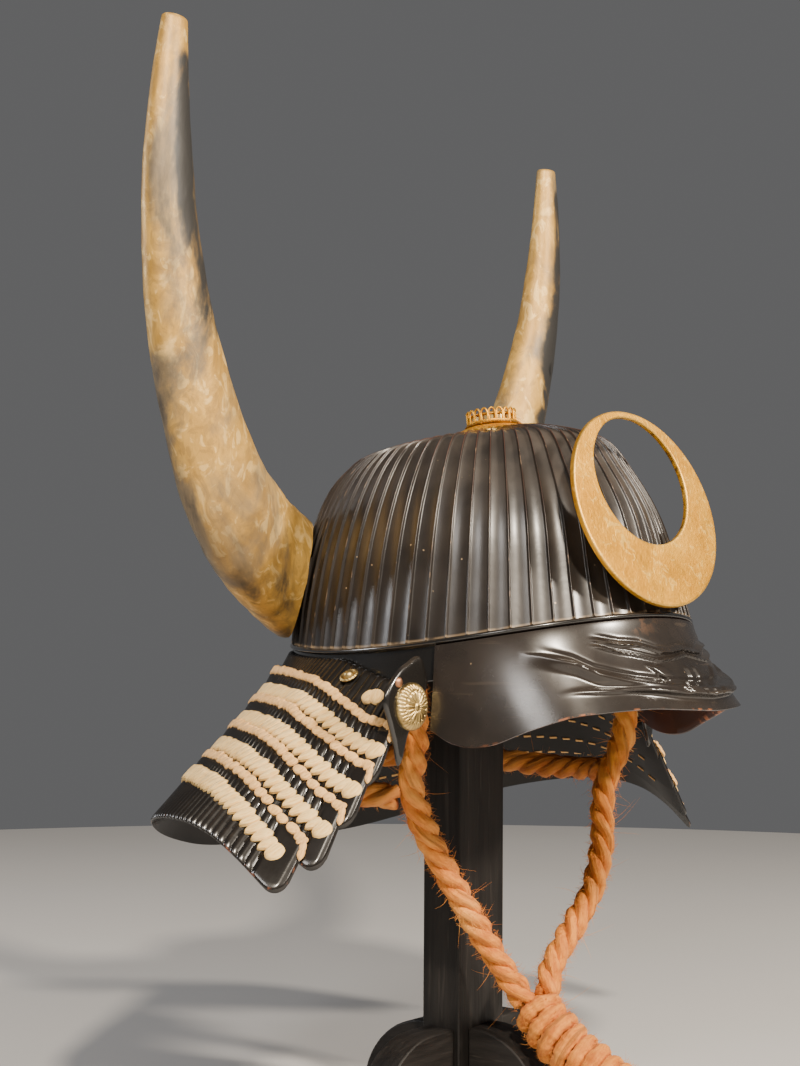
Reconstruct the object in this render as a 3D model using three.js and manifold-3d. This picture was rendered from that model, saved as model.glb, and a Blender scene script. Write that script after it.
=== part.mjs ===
// Samurai helmet (kabuto) on its plain wooden stand, in millimetres.
// +Z is up, the helmet faces -Y, and the origin is on the table under the middle of the post.
// Angles round the helmet start at the brow (-Y) and grow towards the wearer's right (-X).

import * as THREE from 'three';
import { mergeVertices } from 'three/addons/utils/BufferGeometryUtils.js';
import Module from 'manifold-3d';

const DEGREE = Math.PI / 180;
const clearance = 0.3;

// Stand
const postWidth = 44;
const postDepth = 26;
const footHeight = 46;
const sideFootReach = 66;
const sideFootThickness = 19;
const frontFootReach = 50;
const frontFootThickness = 27;
const headPadRadius = 70;
const headPadThickness = 20;
const headPadRise = -6.6;
const bowlBaseHeight = 268;
const postSetback = 10;

// Bowl
const bowlHalfWidth = 101.7;
const bowlHalfLength = 126.3;
const browWidening = 0.208;
const rimTilt = 7.8;
const rimWave = 6.1;
const crownHeight = 120.5;
const crownForward = 9.5;
const crownTilt = 6.6 * DEGREE;
const crownShoulderDrop = 3.2;
const plateCount = 62;
const frontPlateHalfAngle = 2.9 * DEGREE;
const ribHeight = 2.2;
const bowlWall = 2.4;
const crownHoleRadius = 9.5;

// Rim band under the bowl
const lipHeight = 3;
const lipOutset = 0.8;
const bandInset = 1.5;
const bandWall = 2.2;
const bandHeight = 22;

// Visor
const visorHalfAngle = 69.5 * DEGREE;
const visorWall = 2.4;
const visorTopOutset = 1.2;
const visorSideFlare = 5;
const visorBrowFlare = 31;
const visorDrop = 57.5;
const browRidgeHeight = 5;
const wrinkleHeight = 2.2;

// Neck guard
const guardHalfWidth = 210;
const guardHalfLength = 161;
const guardDrop = 131;
const neckDrop = 5.4;
const neckFrontDrop = 16;
const lameWall = 2.2;
const lameStep = 1.8;
const lameOverlap = 0.06;
const lameRibHeight = 1;
const lameRibCount = 28;
const lacingColumns = 28;
const lacingThickness = 3.4;
const lacingStart = 0.05;
const lacingHeight = 0.085;
const lacingGap = 1.1;

// Turned-back wings, rosettes, studs and rivets
const wingWidth = 35;
const wingHeight = 56;
const wingWall = 2.2;
const wingFront = 41.2;
const wingInset = 104;
const wingTop = -11;
const rosetteRadius = 12.4;
const rosetteThickness = 3;
const rosetteFlutes = 16;
const rosetteInset = 14.5;
const rosetteDrop = 26;
const studRadius = 2.8;
const rivetRadius = 4.3;
const rivetAngle = 93.8 * DEGREE;

// Crest
const crestHalfWidth = 62.5;
const crestHalfHeight = 56;
const crestHoleHalfWidth = 40.9;
const crestHoleHalfHeight = 36.6;
const crestHoleRise = 15.8;
const crestThickness = 3.2;
const crestLean = 15.4 * DEGREE;
const crestTurn = 0.1;
const crestForward = 116.6;
const crestSideways = -5.5;
const crestRise = 70.2;
const crestMountWidth = 6;
const crestMountHeight = 14;
const crestMountDepth = 5.4;
const crestMountDrop = 45;

// Horns
const hornRootSide = 70.6;
const hornRootBack = 94;
const hornRootRise = 41.6;
const hornSpread = 115;
const hornRise = 289;
const hornAdvance = 21;
const hornRootWidth = 69;
const hornFlatness = 0.68;
const strapWall = 2.5;
const strapHeight = 16;
const strapRise = 30;
const strapHalfAngle = 50 * DEGREE;

// Crown fittings, stacked on the bowl
const crownPlateRadius = 25;
const crownPlateThickness = 1.5;
const crownCollarLip = 0.7;
const crownWasherRadius = 16;
const crownWasherThickness = 1.2;
const crownRingRadius = 14.2;
const crownRingWall = 1.1;
const crownRingHeight = 8;
const crownArchCount = 18;
const crownArchWidth = 3;
const crownArchHeight = 5;
const crownLoopDiameter = 4;

// Chin cord
const cordDiameter = 14.5;
const cordSides = 8;
const bindingDiameter = 30;
const anchorWidth = 12;
const anchorHeight = 10;
const anchorDepth = 13;
const anchorGap = 1.7;
const anchorDrop = 14;
const rightAnchorAngle = 79.5 * DEGREE;
const leftAnchorAngle = -68.5 * DEGREE;

// Bowl outline from rim to crown: reach is a share of the rim's reach, rise a share of crownHeight.
const bowlProfile = [
  { backReach: 1.000, backRise: 0.000, browReach: 0.980, browRise: 0.000 },
  { backReach: 0.985, backRise: 0.200, browReach: 0.925, browRise: 0.190 },
  { backReach: 0.945, backRise: 0.420, browReach: 0.864, browRise: 0.423 },
  { backReach: 0.890, backRise: 0.615, browReach: 0.792, browRise: 0.589 },
  { backReach: 0.822, backRise: 0.765, browReach: 0.699, browRise: 0.743 },
  { backReach: 0.738, backRise: 0.855, browReach: 0.611, browRise: 0.872 },
  { backReach: 0.637, backRise: 0.912, browReach: 0.519, browRise: 0.934 },
  { backReach: 0.380, backRise: 0.895, browReach: 0.320, browRise: 0.988 },
];
const bowlInnerRows = [7, 4, 0];

// Visor edge: angle is a share of visorHalfAngle, drop a share of visorDrop.
const visorEdge = [
  { angle: 0.00, drop: 0.67 },
  { angle: 0.27, drop: 0.64 },
  { angle: 0.39, drop: 0.665 },
  { angle: 0.52, drop: 0.71 },
  { angle: 0.61, drop: 0.79 },
  { angle: 0.68, drop: 0.86 },
  { angle: 0.77, drop: 0.97 },
  { angle: 0.84, drop: 1.00 },
  { angle: 0.90, drop: 0.985 },
  { angle: 0.95, drop: 0.94 },
  { angle: 1.00, drop: 0.84 },
];

// Neck guard's lower edge: angle in degrees from the brow, drop a share of guardDrop.
const guardEdge = [
  { angle: 72, drop: 1.05 },
  { angle: 79, drop: 0.985 },
  { angle: 84, drop: 0.89 },
  { angle: 89, drop: 0.80 },
  { angle: 98, drop: 0.72 },
  { angle: 106, drop: 0.71 },
  { angle: 114, drop: 0.72 },
  { angle: 126, drop: 0.765 },
  { angle: 145, drop: 0.88 },
  { angle: 159, drop: 0.955 },
  { angle: 180, drop: 1.00 },
];

// Lames from the rim down: where each starts down the guard, at its nape and at its front, and its end angle.
const lames = [
  { name: 'lame_1', napeStart: 0.00, frontStart: 0.00, endAngle: 75.0 },
  { name: 'lame_2', napeStart: 0.13, frontStart: 0.23, endAngle: 74.0 },
  { name: 'lame_3', napeStart: 0.30, frontStart: 0.41, endAngle: 74.6 },
  { name: 'lame_4', napeStart: 0.46, frontStart: 0.595, endAngle: 76.0 },
  { name: 'lame_5', napeStart: 0.64, frontStart: 0.785, endAngle: 79.2 },
];

// Horn centre line from root to tip: shares of hornSpread, hornRise, hornAdvance and hornRootWidth.
const hornLine = [
  { spread: -0.190, rise: -0.040, advance: 0.00, width: 1.02 },
  { spread: 0.000, rise: 0.000, advance: 0.00, width: 1.00 },
  { spread: 0.181, rise: 0.037, advance: 0.14, width: 0.955 },
  { spread: 0.323, rise: 0.079, advance: 0.26, width: 0.92 },
  { spread: 0.498, rise: 0.152, advance: 0.38, width: 0.84 },
  { spread: 0.684, rise: 0.283, advance: 0.52, width: 0.73 },
  { spread: 0.837, rise: 0.437, advance: 0.62, width: 0.635 },
  { spread: 0.937, rise: 0.595, advance: 0.76, width: 0.53 },
  { spread: 0.981, rise: 0.731, advance: 0.86, width: 0.455 },
  { spread: 0.993, rise: 0.878, advance: 0.95, width: 0.345 },
  { spread: 0.980, rise: 1.000, advance: 1.00, width: 0.245 },
];
const hornSections = 15;
const hornSides = 10;

// Wing outline: shares of wingWidth outwards and wingHeight down.
const wingOutline = [
  { out: 0.22, down: 0.00 },
  { out: 0.65, down: 0.12 },
  { out: 0.95, down: 0.31 },
  { out: 1.00, down: 0.45 },
  { out: 0.88, down: 0.64 },
  { out: 0.78, down: 0.80 },
  { out: 0.66, down: 1.00 },
  { out: 0.50, down: 0.76 },
  { out: 0.26, down: 0.52 },
  { out: 0.00, down: 0.27 },
  { out: 0.03, down: 0.13 },
];

// Routes of the cords and the crown loop, measured from the middle of the bowl's rim.
const rightCordRoute = [
  [-90, -21, -24], [-89, -21, -38], [-86.5, -19.8, -52], [-83.4, -16.6, -66], [-79.9, -12.2, -79],
  [-73.6, -10.6, -92], [-66.4, -10.6, -104], [-58.8, -11.5, -116], [-51.3, -13.9, -128], [-43.9, -16.4, -140],
  [-36.5, -19.2, -152], [-29.2, -22.4, -164], [-21.9, -25.9, -176], [-14.5, -29.9, -188], [-6.2, -36.8, -203.2],
];
const leftCordRoute = [
  [88, -43, -22.2], [88.8, -45.5, -37], [88.2, -46.7, -52], [84.5, -44.8, -66], [79, -41.3, -79],
  [74.1, -39.8, -93], [70.6, -41, -107], [67.4, -43, -121], [61.5, -43.6, -135], [55.6, -43.2, -148],
  [46.2, -41.2, -160], [36.6, -39.4, -171], [26.2, -38.4, -181], [17, -39, -190], [9, -42.2, -202.4],
];
const napeCordRoute = [
  [-83.4, -4.6, -87], [-93, 5, -86], [-96.4, 20.5, -84.6], [-94.9, 46, -81], [-86.3, 70.2, -78], [-69.9, 90.1, -76],
  [-48, 103.7, -75], [-23, 110.2, -74], [2.9, 112, -74], [28.6, 109.2, -74], [53.3, 101.4, -75],
  [74.2, 86.2, -75.5], [88.4, 64.8, -76.5], [94.1, 39.5, -78], [96.7, 13.8, -79.8], [96, -9, -80.2],
  [92, -23, -80], [83.4, -35, -79.6],
];
const bindingRoute = [
  [0, -41.4, -208.9], [-0.5, -48, -215.8], [-0.9, -54.8, -221.5], [-1, -59.7, -225.2], [-0.7, -64.8, -229],
  [-0.3, -70.1, -232.4], [0, -75.5, -235.6], [0.1, -81, -238.6], [0, -86.5, -241.4], [0, -92.2, -243.9],
  [0, -98, -246.2], [0.2, -103.9, -248.2], [0.5, -109.9, -249.9], [0.7, -116, -251.2], [1, -122, -252.2],
];
const crownLoopRoute = [
  [16.6, -12, 130], [20, -13, 130], [24, -14.5, 127.4], [27.5, -16, 123.4], [30.4, -17.4, 118.5],
];

const paint = {
  lacquer: new THREE.MeshStandardMaterial({ color: 0x17140f, roughness: 0.25, metalness: 0.1 }),
  visorLacquer: new THREE.MeshStandardMaterial({ color: 0x1a1613, roughness: 0.18, metalness: 0.1 }),
  gold: new THREE.MeshStandardMaterial({ color: 0xc99c3e, roughness: 0.35, metalness: 1 }),
  brass: new THREE.MeshStandardMaterial({ color: 0xb08d3f, roughness: 0.4, metalness: 1 }),
  copper: new THREE.MeshStandardMaterial({ color: 0xb0603a, roughness: 0.4, metalness: 1 }),
  hornGilt: new THREE.MeshStandardMaterial({ color: 0x94793f, roughness: 0.6, metalness: 0.4 }),
  iron: new THREE.MeshStandardMaterial({ color: 0x3a2f28, roughness: 0.6, metalness: 0.8 }),
  lacing: new THREE.MeshStandardMaterial({ color: 0xd9bd8f, roughness: 0.9, metalness: 0 }),
  rope: new THREE.MeshStandardMaterial({ color: 0xc9793c, roughness: 0.95, metalness: 0 }),
  wood: new THREE.MeshStandardMaterial({ color: 0x1d1a17, roughness: 0.6, metalness: 0 }),
};

// Small helpers
const mix = (a, b, share) => a + (b - a) * share;

function smooth(value) {
  const t = Math.min(1, Math.max(0, value));
  return t * t * (3 - 2 * t);
}

function readTable(rows, key, value, column) {
  const last = rows.length - 1;
  if (value <= rows[0][key]) return rows[0][column];
  if (value >= rows[last][key]) return rows[last][column];
  const upper = rows.findIndex((row) => row[key] >= value);
  const low = rows[upper - 1];
  const high = rows[upper];
  return mix(low[column], high[column], (value - low[key]) / (high[key] - low[key]));
}

function anglesBetween(start, end, count) {
  return Array.from({ length: count + 1 }, (_, i) => mix(start, end, i / count));
}

// Closed solids from points and triangles
function enclosedVolume(points, triangles) {
  return triangles.reduce((sum, [a, b, c]) => {
    const cross = new THREE.Vector3().crossVectors(points[b], points[c]);
    return sum + points[a].dot(cross);
  }, 0);
}

function solidFrom(points, triangles) {
  const outward = enclosedVolume(points, triangles) > 0;
  const ordered = outward ? triangles : triangles.map(([a, b, c]) => [a, c, b]);
  const geometry = new THREE.BufferGeometry();
  const coordinates = points.flatMap((point) => [point.x, point.y, point.z]);
  geometry.setAttribute('position', new THREE.Float32BufferAttribute(coordinates, 3));
  geometry.setIndex(ordered.flat());
  geometry.computeVertexNormals();
  return geometry;
}

function sectionNormal(section) {
  const normal = new THREE.Vector3();
  section.forEach((point, i) => {
    normal.add(new THREE.Vector3().crossVectors(point, section[(i + 1) % section.length]));
  });
  return normal;
}

function capTriangles(section) {
  const normal = sectionNormal(section);
  const sizes = [Math.abs(normal.x), Math.abs(normal.y), Math.abs(normal.z)];
  const dropped = sizes.indexOf(Math.max(...sizes));
  const flat = section.map((point) => {
    const kept = [point.x, point.y, point.z].filter((_, axis) => axis !== dropped);
    return new THREE.Vector2(kept[0], kept[1]);
  });
  const turn = Math.sign(THREE.ShapeUtils.area(flat));
  return THREE.ShapeUtils.triangulateShape(flat, []).map(([a, b, c]) => {
    const same = Math.sign(THREE.ShapeUtils.area([flat[a], flat[b], flat[c]])) === turn;
    return same ? [a, b, c] : [a, c, b];
  });
}

function sweptSolid(sections, isRing) {
  const count = sections[0].length;
  const points = sections.flat();
  const triangles = [];
  const spans = isRing ? sections.length : sections.length - 1;
  for (let i = 0; i < spans; i++) {
    const here = i * count;
    const next = ((i + 1) % sections.length) * count;
    for (let j = 0; j < count; j++) {
      const k = (j + 1) % count;
      triangles.push([here + j, here + k, next + k]);
      triangles.push([here + j, next + k, next + j]);
    }
  }
  if (!isRing) {
    const end = (sections.length - 1) * count;
    capTriangles(sections[0]).forEach(([a, b, c]) => triangles.push([c, b, a]));
    capTriangles(sections.at(-1)).forEach(([a, b, c]) => triangles.push([end + a, end + b, end + c]));
  }
  return solidFrom(points, triangles);
}

// Joining and cutting
const wasm = await Module();
wasm.setup();

function toSolid(geometry) {
  const bare = geometry.clone();
  bare.deleteAttribute('normal');
  bare.deleteAttribute('uv');
  const merged = mergeVertices(bare, 1e-4);
  return new wasm.Manifold(new wasm.Mesh({
    numProp: 3,
    vertProperties: Float32Array.from(merged.attributes.position.array),
    triVerts: Uint32Array.from(merged.index.array),
  }));
}

function fromSolid(solid) {
  const mesh = solid.getMesh();
  const geometry = new THREE.BufferGeometry();
  geometry.setAttribute('position', new THREE.Float32BufferAttribute(mesh.vertProperties, 3));
  geometry.setIndex(Array.from(mesh.triVerts));
  geometry.computeVertexNormals();
  return geometry;
}

function piece(name, geometry, material) {
  const mesh = new THREE.Mesh(geometry, material);
  mesh.name = name;
  return mesh;
}

// Bowl surface
function rimDirection(angle) {
  const x = -bowlHalfWidth * Math.sin(angle) * (1 + browWidening * Math.cos(angle));
  const y = -bowlHalfLength * Math.cos(angle) + crownForward;
  return new THREE.Vector2(x, y);
}

function crownPlane(y) {
  return crownHeight - (y + crownForward) * Math.tan(crownTilt);
}

function bowlPoint(angle, row, outward = 0, drop = 0) {
  const browShare = (1 + Math.cos(angle)) / 2;
  const { backReach, backRise, browReach, browRise } = bowlProfile[row];
  const reach = mix(backReach, browReach, browShare);
  const rise = mix(backRise, browRise, browShare);
  const flat = rimDirection(angle);
  flat.setLength(flat.length() * reach + outward);
  const rim = rimTilt * reach * Math.cos(angle) + rimWave * Math.cos(2 * angle) * (1 - rise);
  return new THREE.Vector3(flat.x, flat.y - crownForward, rim + crownHeight * rise - drop);
}

function rimPoint(angle, outward, drop) {
  return bowlPoint(angle, 0, outward, drop);
}

function crownPoint(angle, radius, drop) {
  const flat = rimDirection(angle).setLength(radius);
  const y = flat.y - crownForward;
  return new THREE.Vector3(flat.x, y, crownPlane(y) - drop);
}

// One closed section of the bowl's wall: up the outside, over the crown hole's edge, down the inside.
function bowlSection(angle, inset, ribWall) {
  const outside = bowlProfile.map((_, row) => bowlPoint(angle, row, -inset));
  const drop = inset * 0.4;
  const crown = [
    crownPoint(angle, crownPlateRadius, crownShoulderDrop + drop),
    crownPoint(angle, crownHoleRadius, 0),
    crownPoint(angle, crownHoleRadius, ribWall),
  ];
  const inside = bowlInnerRows.map((row) => {
    const lowered = row === 0 ? 0 : ribWall * bowlProfile[row].backRise;
    return bowlPoint(angle, row, -ribWall, lowered);
  });
  return [...outside, ...crown, ...inside];
}

function makeBowl() {
  const first = frontPlateHalfAngle;
  const step = (2 * Math.PI - 2 * first) / (plateCount - 1);
  const sections = [];
  for (let plate = 0; plate < plateCount; plate++) {
    const start = first + plate * step;
    const middle = plate === plateCount - 1 ? 2 * Math.PI : start + step / 2;
    sections.push(bowlSection(start, 0, ribHeight + bowlWall));
    sections.push(bowlSection(middle, ribHeight, ribHeight + bowlWall));
  }
  return piece('bowl', sweptSolid(sections, true), paint.lacquer);
}

// A smooth closed form round the bowl, for seating the horns against it.
function bowlEnvelope(outward) {
  const angles = anglesBetween(0, 2 * Math.PI, 48).slice(0, 48);
  const rows = bowlProfile.map((_, row) => angles.map((angle) => bowlPoint(angle, row, outward)));
  const foot = angles.map((angle) => bowlPoint(angle, 0, outward, 30));
  return sweptSolid([foot, ...rows], false);
}

// Rim band: a lip under the bowl's plates and a plain wall below it
function makeRimBand() {
  const step = clearance;
  const sections = anglesBetween(0, 2 * Math.PI, 48).slice(0, 48).map((angle) => [
    rimPoint(angle, lipOutset, step),
    rimPoint(angle, lipOutset, lipHeight),
    rimPoint(angle, -bandInset, lipHeight + clearance),
    rimPoint(angle, -bandInset, bandHeight),
    rimPoint(angle, -bandInset - bandWall, bandHeight),
    rimPoint(angle, -bandInset - bandWall, step),
  ]);
  return piece('rim_band', sweptSolid(sections, true), paint.lacquer);
}

// Visor
const visorTopDrop = lipHeight + clearance + 0.3;
const visorRows = 8;

function visorRelief(angle, share) {
  const degrees = Math.abs(angle) / DEGREE;
  const bump = (value, middle, width) => Math.exp(-(((value - middle) / width) ** 2));
  const browFade = smooth((44 - degrees) / 20);
  const brow = browRidgeHeight * browFade * bump(share, 0.52 + degrees * 0.002, 0.11);
  const wrinkleFade = smooth((32 - degrees) / 12);
  const wrinkle = wrinkleHeight * wrinkleFade * bump(share, 0.27, 0.07);
  return brow + wrinkle;
}

function visorPoint(angle, share, inward) {
  const degreesShare = Math.abs(angle) / visorHalfAngle;
  const facing = Math.cos(angle);
  const flare = mix(visorSideFlare, visorBrowFlare, facing * facing);
  const edgeDrop = visorDrop * readTable(visorEdge, 'angle', degreesShare, 'drop');
  const top = rimPoint(angle, visorTopOutset - inward, visorTopDrop);
  const edge = rimPoint(angle, flare - inward, 0);
  const bow = share ** 1.25;
  const raised = 1 + (inward > 0 ? 0 : visorRelief(angle, share) / bowlHalfLength);
  return new THREE.Vector3(
    mix(top.x, edge.x, bow) * raised,
    mix(top.y, edge.y, bow) * raised,
    mix(top.z, -edgeDrop, share),
  );
}

function makeVisor() {
  const columns = anglesBetween(-visorHalfAngle, visorHalfAngle, 32);
  const sections = columns.map((angle) => {
    const outside = Array.from({ length: visorRows + 1 }, (_, i) => visorPoint(angle, i / visorRows, 0));
    const inside = [1, 0.66, 0.33, 0].map((share) => visorPoint(angle, share, visorWall));
    return [...outside, ...inside];
  });
  return piece('visor', sweptSolid(sections, false), paint.visorLacquer);
}

// Neck guard
function guardFrame(angle) {
  const around = Math.abs(angle);
  const nearFront = smooth((105 * DEGREE - around) / (30 * DEGREE));
  const neck = rimPoint(angle, 0, neckDrop + neckFrontDrop * nearFront);
  const drop = guardDrop * readTable(guardEdge, 'angle', around / DEGREE, 'drop');
  const edge = new THREE.Vector3(
    -guardHalfWidth * Math.sin(angle),
    -guardHalfLength * Math.cos(angle),
    -drop,
  );
  const run = new THREE.Vector3().subVectors(edge, neck);
  const flat = new THREE.Vector3(run.x, run.y, 0).normalize();
  const reach = Math.hypot(run.x, run.y);
  const outward = flat.multiplyScalar(-run.z).setZ(reach).normalize();
  return { neck, run, outward };
}

function guardPoint(angle, share, offset) {
  const { neck, run, outward } = guardFrame(angle);
  return neck.clone().addScaledVector(run, share).addScaledVector(outward, offset);
}

function lameStart(index, angle) {
  const row = lames[index];
  const nearFront = smooth((130 - Math.abs(angle) / DEGREE) / 55);
  return mix(row.napeStart, row.frontStart, nearFront);
}

function lameEnd(index, angle) {
  return index === lames.length - 1 ? 1 : lameStart(index + 1, angle) + lameOverlap;
}

function lameOffset(index, share) {
  const topOffset = index === 0 ? 0 : lameStep;
  const bottomOffset = index === lames.length - 1 ? 0 : -lameStep;
  return mix(topOffset, bottomOffset, share);
}

function makeLame(index) {
  const { name, endAngle } = lames[index];
  const half = lameWall / 2;
  const columns = anglesBetween(endAngle * DEGREE, (360 - endAngle) * DEGREE, 2 * lameRibCount);
  const sections = columns.map((angle, column) => {
    const signed = angle > Math.PI ? angle - 2 * Math.PI : angle;
    const isValley = column % 2 === 1;
    const outside = half - (isValley ? lameRibHeight : 0);
    const start = lameStart(index, signed);
    const end = lameEnd(index, signed);
    const top = lameOffset(index, 0);
    const bottom = lameOffset(index, 1);
    return [
      guardPoint(signed, start, top + outside),
      guardPoint(signed, end, bottom + outside),
      guardPoint(signed, end, bottom - half),
      guardPoint(signed, start, top - half),
    ];
  });
  return piece(name, sweptSolid(sections, false), paint.lacquer);
}

// A thick braided row lies on each lame below its scale heads.
function makeLacing(index) {
  const inner = lameWall / 2 + lacingGap;
  const outer = inner + lacingThickness;
  const start = (lames[index].endAngle + 3) * DEGREE;
  const columns = anglesBetween(start, 2 * Math.PI - start, lacingColumns);
  const sections = columns.map((angle) => {
    const signed = angle > Math.PI ? angle - 2 * Math.PI : angle;
    const length = lameEnd(index, signed) - lameStart(index, signed);
    const top = lameStart(index, signed) + lacingStart;
    const bottom = top + lacingHeight;
    const at = (share, out) => {
      const along = (share - lameStart(index, signed)) / length;
      return guardPoint(signed, share, lameOffset(index, along) + out);
    };
    const round = lacingHeight * 0.25;
    return [at(top, inner), at(top + round, outer), at(bottom - round, outer), at(bottom, inner)];
  });
  return piece(`lacing_${index + 1}`, sweptSolid(sections, false), paint.lacing);
}

// Turned-back wings with their rosettes and studs; side is -1 on the wearer's right
function wingShape(side) {
  const shape = new THREE.Shape();
  const points = wingOutline.map(({ out, down }) => new THREE.Vector2(side * out * wingWidth, -down * wingHeight));
  shape.moveTo(points[0].x, points[0].y);
  points.slice(1).forEach((point) => shape.lineTo(point.x, point.y));
  return shape;
}

function standUp(geometry) {
  return geometry.rotateX(Math.PI / 2);
}

function makeWing(side, name) {
  const geometry = standUp(new THREE.ExtrudeGeometry(wingShape(side), { depth: wingWall, bevelEnabled: false }));
  const mesh = piece(name, geometry, paint.lacquer);
  mesh.position.set(side * wingInset, -wingFront + wingWall, wingTop);
  return mesh;
}

function makeRosette(side, name) {
  const shape = new THREE.Shape();
  const count = 2 * rosetteFlutes;
  for (let i = 0; i < count; i++) {
    const radius = rosetteRadius - 0.6 - (i % 2 === 0 ? 0 : 0.7);
    const angle = (i * 2 * Math.PI) / count;
    const x = radius * Math.cos(angle);
    const y = radius * Math.sin(angle);
    if (i === 0) shape.moveTo(x, y);
    else shape.lineTo(x, y);
  }
  const rim = 0.6;
  const options = { depth: rosetteThickness - rim, bevelThickness: rim, bevelSize: rim, bevelSegments: 1 };
  const geometry = standUp(new THREE.ExtrudeGeometry(shape, options));
  const mesh = piece(name, geometry, paint.brass);
  mesh.position.set(side * (wingInset + rosetteInset), -wingFront - clearance - rim, wingTop - rosetteDrop);
  return mesh;
}

function domeGeometry(radius, height) {
  const profile = [
    new THREE.Vector2(0, 0),
    new THREE.Vector2(radius, 0),
    new THREE.Vector2(radius * 0.92, height * 0.4),
    new THREE.Vector2(radius * 0.55, height * 0.9),
    new THREE.Vector2(0, height),
  ];
  return new THREE.LatheGeometry(profile, 8).rotateX(Math.PI / 2);
}

function makeStud(side, name) {
  const mesh = piece(name, domeGeometry(studRadius, studRadius * 0.6), paint.copper);
  mesh.rotation.x = Math.PI / 2;
  mesh.position.set(side * (wingInset + wingWidth * 0.72), -wingFront - clearance, wingTop - wingHeight * 0.24);
  return mesh;
}

function makeRivet(side, name) {
  const angle = -side * rivetAngle;
  const { outward } = guardFrame(angle);
  const mesh = piece(name, domeGeometry(rivetRadius, rivetRadius * 0.55), paint.brass);
  mesh.position.copy(guardPoint(angle, 0.075, lameWall / 2 + clearance));
  mesh.quaternion.setFromUnitVectors(new THREE.Vector3(0, 0, 1), outward);
  return mesh;
}

// Crest: a wide ring with its hole set high, leaning back on a small mount
function makeCrest() {
  const shape = new THREE.Shape();
  shape.absellipse(0, 0, crestHalfWidth, crestHalfHeight, 0, 2 * Math.PI);
  const hole = new THREE.Path();
  hole.absellipse(0, crestHoleRise, crestHoleHalfWidth, crestHoleHalfHeight, 0, 2 * Math.PI);
  shape.holes.push(hole);
  const geometry = new THREE.ExtrudeGeometry(shape, {
    depth: crestThickness, bevelEnabled: false, curveSegments: 26,
  });
  const plate = piece('crest', geometry.translate(0, 0, -crestThickness), paint.gold);
  const mountGeometry = new THREE.BoxGeometry(crestMountWidth, crestMountHeight, crestMountDepth);
  const mount = piece('crest_mount', mountGeometry, paint.copper);
  mount.position.set(-crestSideways, -crestMountDrop, -crestThickness - clearance - crestMountDepth / 2);
  const group = new THREE.Group();
  group.add(plate, mount);
  group.position.set(crestSideways, -crestForward, crestRise);
  group.rotation.set(Math.PI / 2 - crestLean, 0, -crestTurn, 'ZYX');
  return group;
}

// Horns and the strap that carries them round the back of the bowl
function hornGeometry(side) {
  const spine = new THREE.CatmullRomCurve3(hornLine.map(({ spread, rise, advance }) => new THREE.Vector3(
    side * (hornRootSide + spread * hornSpread),
    hornRootBack - advance * hornAdvance,
    hornRootRise + rise * hornRise,
  )), false, 'catmullrom');
  const widths = new THREE.CatmullRomCurve3(
    hornLine.map(({ width }, i) => new THREE.Vector3(width * hornRootWidth, i, 0)), false, 'catmullrom');
  const sections = [];
  for (let i = 0; i <= hornSections; i++) {
    const share = i / hornSections;
    const centre = spine.getPoint(share);
    const ahead = spine.getTangent(share);
    const across = new THREE.Vector3(0, 1, 0).cross(ahead).normalize();
    const depth = new THREE.Vector3().crossVectors(ahead, across).normalize();
    const width = widths.getPoint(share).x / 2;
    sections.push(Array.from({ length: hornSides }, (_, j) => {
      const angle = (j * 2 * Math.PI) / hornSides;
      return centre.clone()
        .addScaledVector(across, width * Math.cos(angle))
        .addScaledVector(depth, width * hornFlatness * Math.sin(angle));
    }));
  }
  return sweptSolid(sections, false);
}

function makeHorn(side, name) {
  const envelope = toSolid(bowlEnvelope(strapWall + 2 * clearance));
  const solid = toSolid(hornGeometry(side)).subtract(envelope);
  return piece(name, fromSolid(solid), paint.hornGilt);
}

function strapPoint(angle, height, outward) {
  let row = 1;
  while (bowlPoint(angle, row, 0).z < height) row += 1;
  const low = bowlPoint(angle, row - 1, outward);
  const high = bowlPoint(angle, row, outward);
  return low.lerp(high, (height - low.z) / (high.z - low.z));
}

function makeStrap() {
  const columns = anglesBetween(Math.PI - strapHalfAngle, Math.PI + strapHalfAngle, 24);
  const inner = clearance;
  const outer = clearance + strapWall;
  const sections = columns.map((angle) => [
    strapPoint(angle, strapRise, inner),
    strapPoint(angle, strapRise, outer),
    strapPoint(angle, strapRise + strapHeight, outer),
    strapPoint(angle, strapRise + strapHeight, inner),
  ]);
  return piece('horn_strap', sweptSolid(sections, false), paint.iron);
}

// Crown fittings: sloping collar, washer and pierced ring, all leaning with the crown
function collarGeometry(inner, top) {
  const edge = 2 * clearance - crownShoulderDrop;
  const profile = [
    new THREE.Vector2(inner, clearance),
    new THREE.Vector2(crownPlateRadius, edge),
    new THREE.Vector2(crownPlateRadius - crownCollarLip, edge + crownCollarLip),
    new THREE.Vector2(crownWasherRadius + crownCollarLip, top),
    new THREE.Vector2(inner, top),
    new THREE.Vector2(inner, clearance),
  ];
  return new THREE.LatheGeometry(profile, 24).rotateX(Math.PI / 2);
}

function ringGeometry(outer, inner, low, high, segments) {
  const profile = [
    new THREE.Vector2(inner, low),
    new THREE.Vector2(outer, low),
    new THREE.Vector2(outer, high),
    new THREE.Vector2(inner, high),
    new THREE.Vector2(inner, low),
  ];
  return new THREE.LatheGeometry(profile, segments).rotateX(Math.PI / 2);
}

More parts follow.
